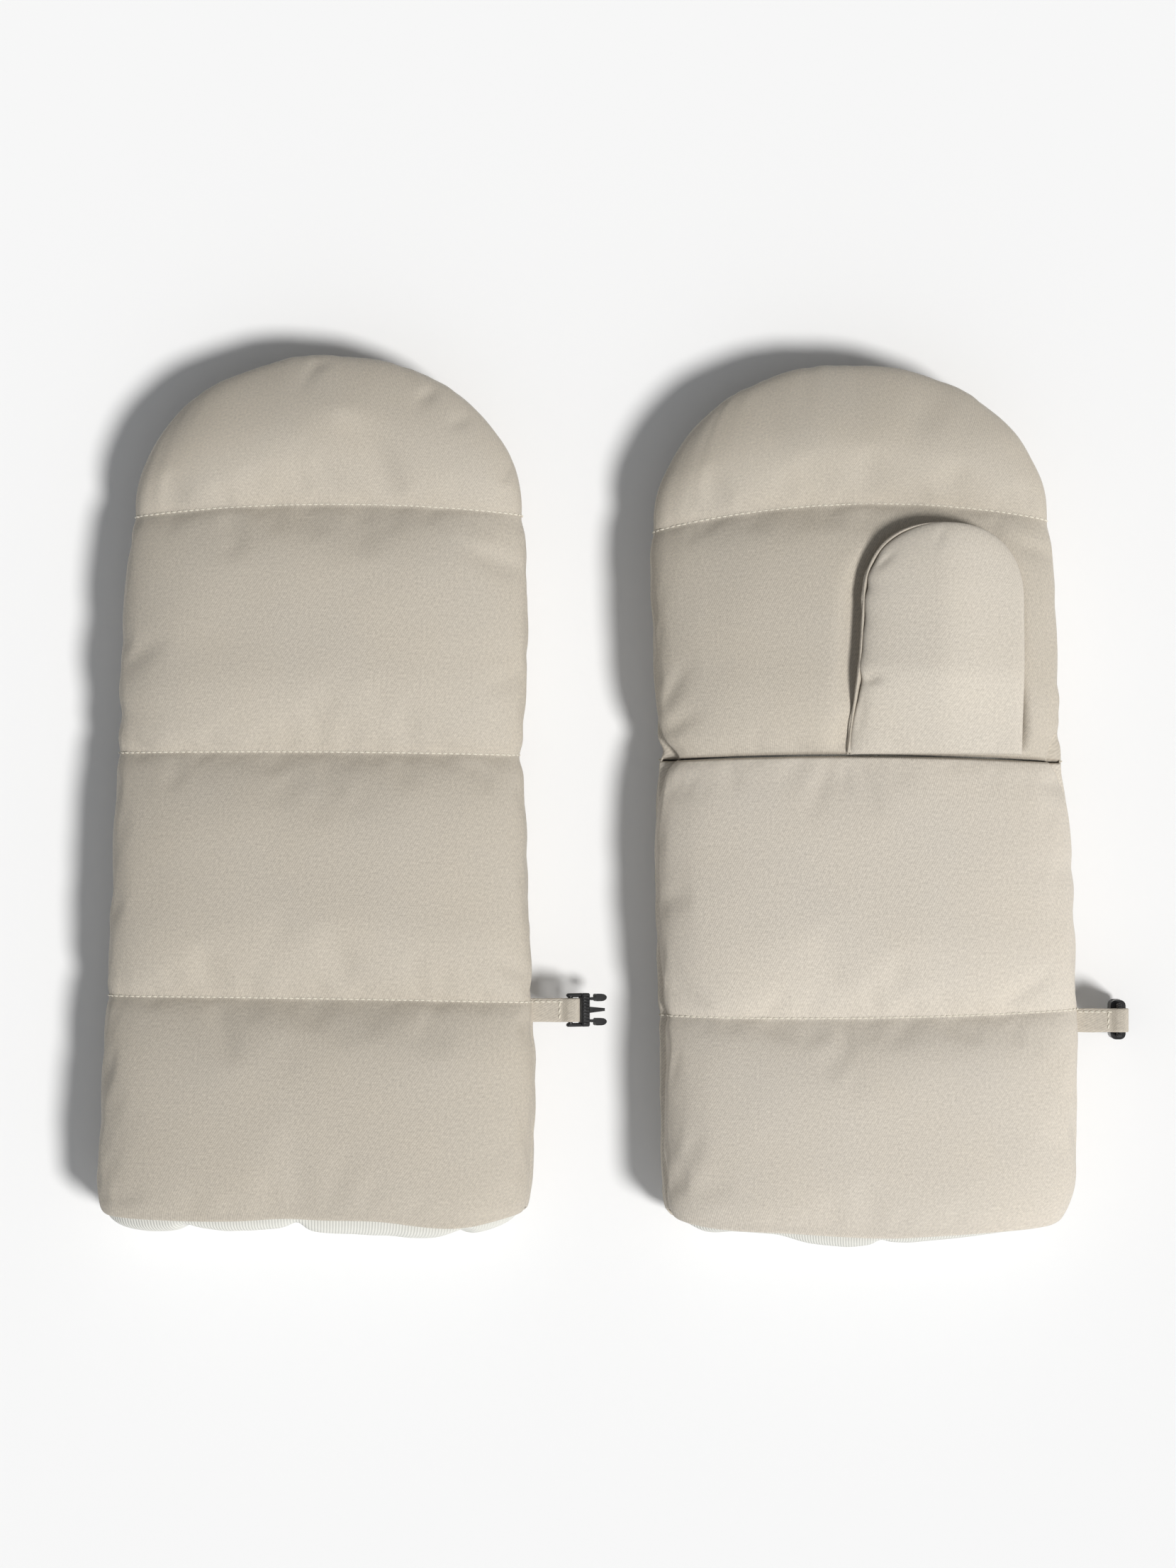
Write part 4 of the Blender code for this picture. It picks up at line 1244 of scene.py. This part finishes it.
def strap_piece(mitten, bar_joint):
    node = mitten.name + "_strap"
    root = JOINTS[node + "_bend"]["pos_m"]
    bar = JOINTS[bar_joint]["pos_m"]
    route = strap_route(root, bar)

    def place(across, row):
        x, z = route[row]
        edge = math.copysign(0.00025 * abs(across) ** 6, z - root[2])
        inner = smooth_step((x - root[0]) / 0.004) * (1 - smooth_step((x - bar[0] + 0.005) / 0.004))
        z += 0.0003 * mitten.bump(x, across * 0.005, 0.012, 20.0) * inner - edge
        y = root[1] + across * STRAP_WIDTH / 2 + 0.0002 * mitten.bump(x, across, 0.009, 22.0) * inner
        return Vector((x, y, z))

    def weave(across, row):
        return (across + 1) / 2 * STRAP_WIDTH, row * 0.0010

    material = cloth_of(mitten, "strap")
    piece = grid_piece(node + "_band", STRAP_COLUMNS, len(route) - 1, place, material, weave)
    face_outwards(piece, Vector((bar[0] - 0.006, root[1], root[2])))
    thicken(piece, STRAP_CLOTH, -0.2)
    settle(piece)
    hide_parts(node)
    length = sum(math.dist(a, b) for a, b in zip(route, route[1:]))
    thread = strap_stitches(mitten, root, bar)
    for part in (piece, thread):
        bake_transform(part)


def plate_ribs():
    """Grip ribs across the plate of the buckle's male half."""
    bar = Vector(JOINTS["male_buckle_swing"]["pos_m"])
    axis = JOINTS["upper_prong_flex"]["axis"]
    up = Vector((-axis[0], 0, -axis[2]))
    out = Vector((up.z, 0, -up.x))
    across = Vector((0, 1, 0))
    build = bmesh.new()
    for index in range(PLATE_RIBS):
        centre = bar + across * (index - (PLATE_RIBS - 1) / 2) * PLATE_RIB_STEP
        centre += out * PLATE_RIB_PLACE[0] + up * PLATE_RIB_PLACE[1]
        add_capsule(build, centre, (out, across, up), PLATE_RIB_SIZE, (12, 8))
    piece = mesh_piece("plate_ribs", build, MATERIALS["plastic"])
    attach(piece, "male_buckle")


def studio_walls(tree):
    """A soft white room, brighter on the side of the hems than on that of the fingertips."""
    place = add_node(tree, "ShaderNodeTexCoord", {}).outputs["Generated"]
    far = direction_of(tree, place, 1)
    strength = math_node(tree, "MULTIPLY_ADD", far, -ROOM_SLOPE, ROOM_LIGHT)
    set_sockets(tree, tree.nodes["Background"], Color=ROOM_COLOUR, Strength=strength)


def stage_and_light():
    build = bmesh.new()
    bmesh.ops.create_grid(build, x_segments=1, y_segments=1, size=FLOOR_HALF_SIZE)
    mesh_piece("floor", build, floor_material())
    sun = bpy.data.lights.new("key", "SUN")
    sun.energy = SUN_STRENGTH
    sun.angle = math.radians(SUN_ANGLE)
    sun.color = SUN_COLOUR
    lamp = bpy.data.objects.new("key", sun)
    bpy.context.scene.collection.objects.link(lamp)
    lamp.rotation_euler = Vector(SUN_DIRECTION).to_track_quat("Z", "Y").to_euler()
    world = bpy.data.worlds.new("studio")
    bpy.context.scene.world = world
    world.use_nodes = True
    studio_walls(world.node_tree)
    bpy.context.scene.view_settings.view_transform = "Standard"


def camera():
    data = bpy.data.cameras.new("camera")
    data.sensor_fit = "VERTICAL"
    data.sensor_height = 24.0
    data.lens = data.sensor_height * (CAMERA_HEIGHT - MID_HEIGHT) / VIEW_HEIGHT
    data.clip_end = 20.0
    view = bpy.data.objects.new("camera", data)
    view.location = (*VIEW_CENTRE, CAMERA_HEIGHT)
    bpy.context.scene.collection.objects.link(view)
    bpy.context.scene.camera = view


camera()
stage_and_light()
LEFT_SHAPE = (LEFT_SIDES, LEFT_TOP, LEFT_NOTCHES, LEFT_TRIM, LEFT_HEM, LEFT_RIM, LEFT_LINES, LEFT_FOLDS)
RIGHT_SHAPE = (RIGHT_SIDES, RIGHT_TOP, RIGHT_NOTCHES, RIGHT_TRIM, RIGHT_HEM, RIGHT_RIM, RIGHT_LINES,
               RIGHT_FOLDS)
LEFT = Mitten("left", True, LEFT_SHAPE, 3.7)
RIGHT = Mitten("right", False, RIGHT_SHAPE, 11.3)
THUMBS = {
    "left": Thumb(LEFT, 0.0157, 0.0157, 0.0140),
    "right": Thumb(RIGHT, 0.0315, 0.0235, 0.0134),
}
for pair in (LEFT, RIGHT):
    build_mitten(pair, THUMBS[pair.name])
strap_piece(LEFT, "male_buckle_swing")
strap_piece(RIGHT, "female_buckle_swing")
plastic_nodes()
plate_ribs()
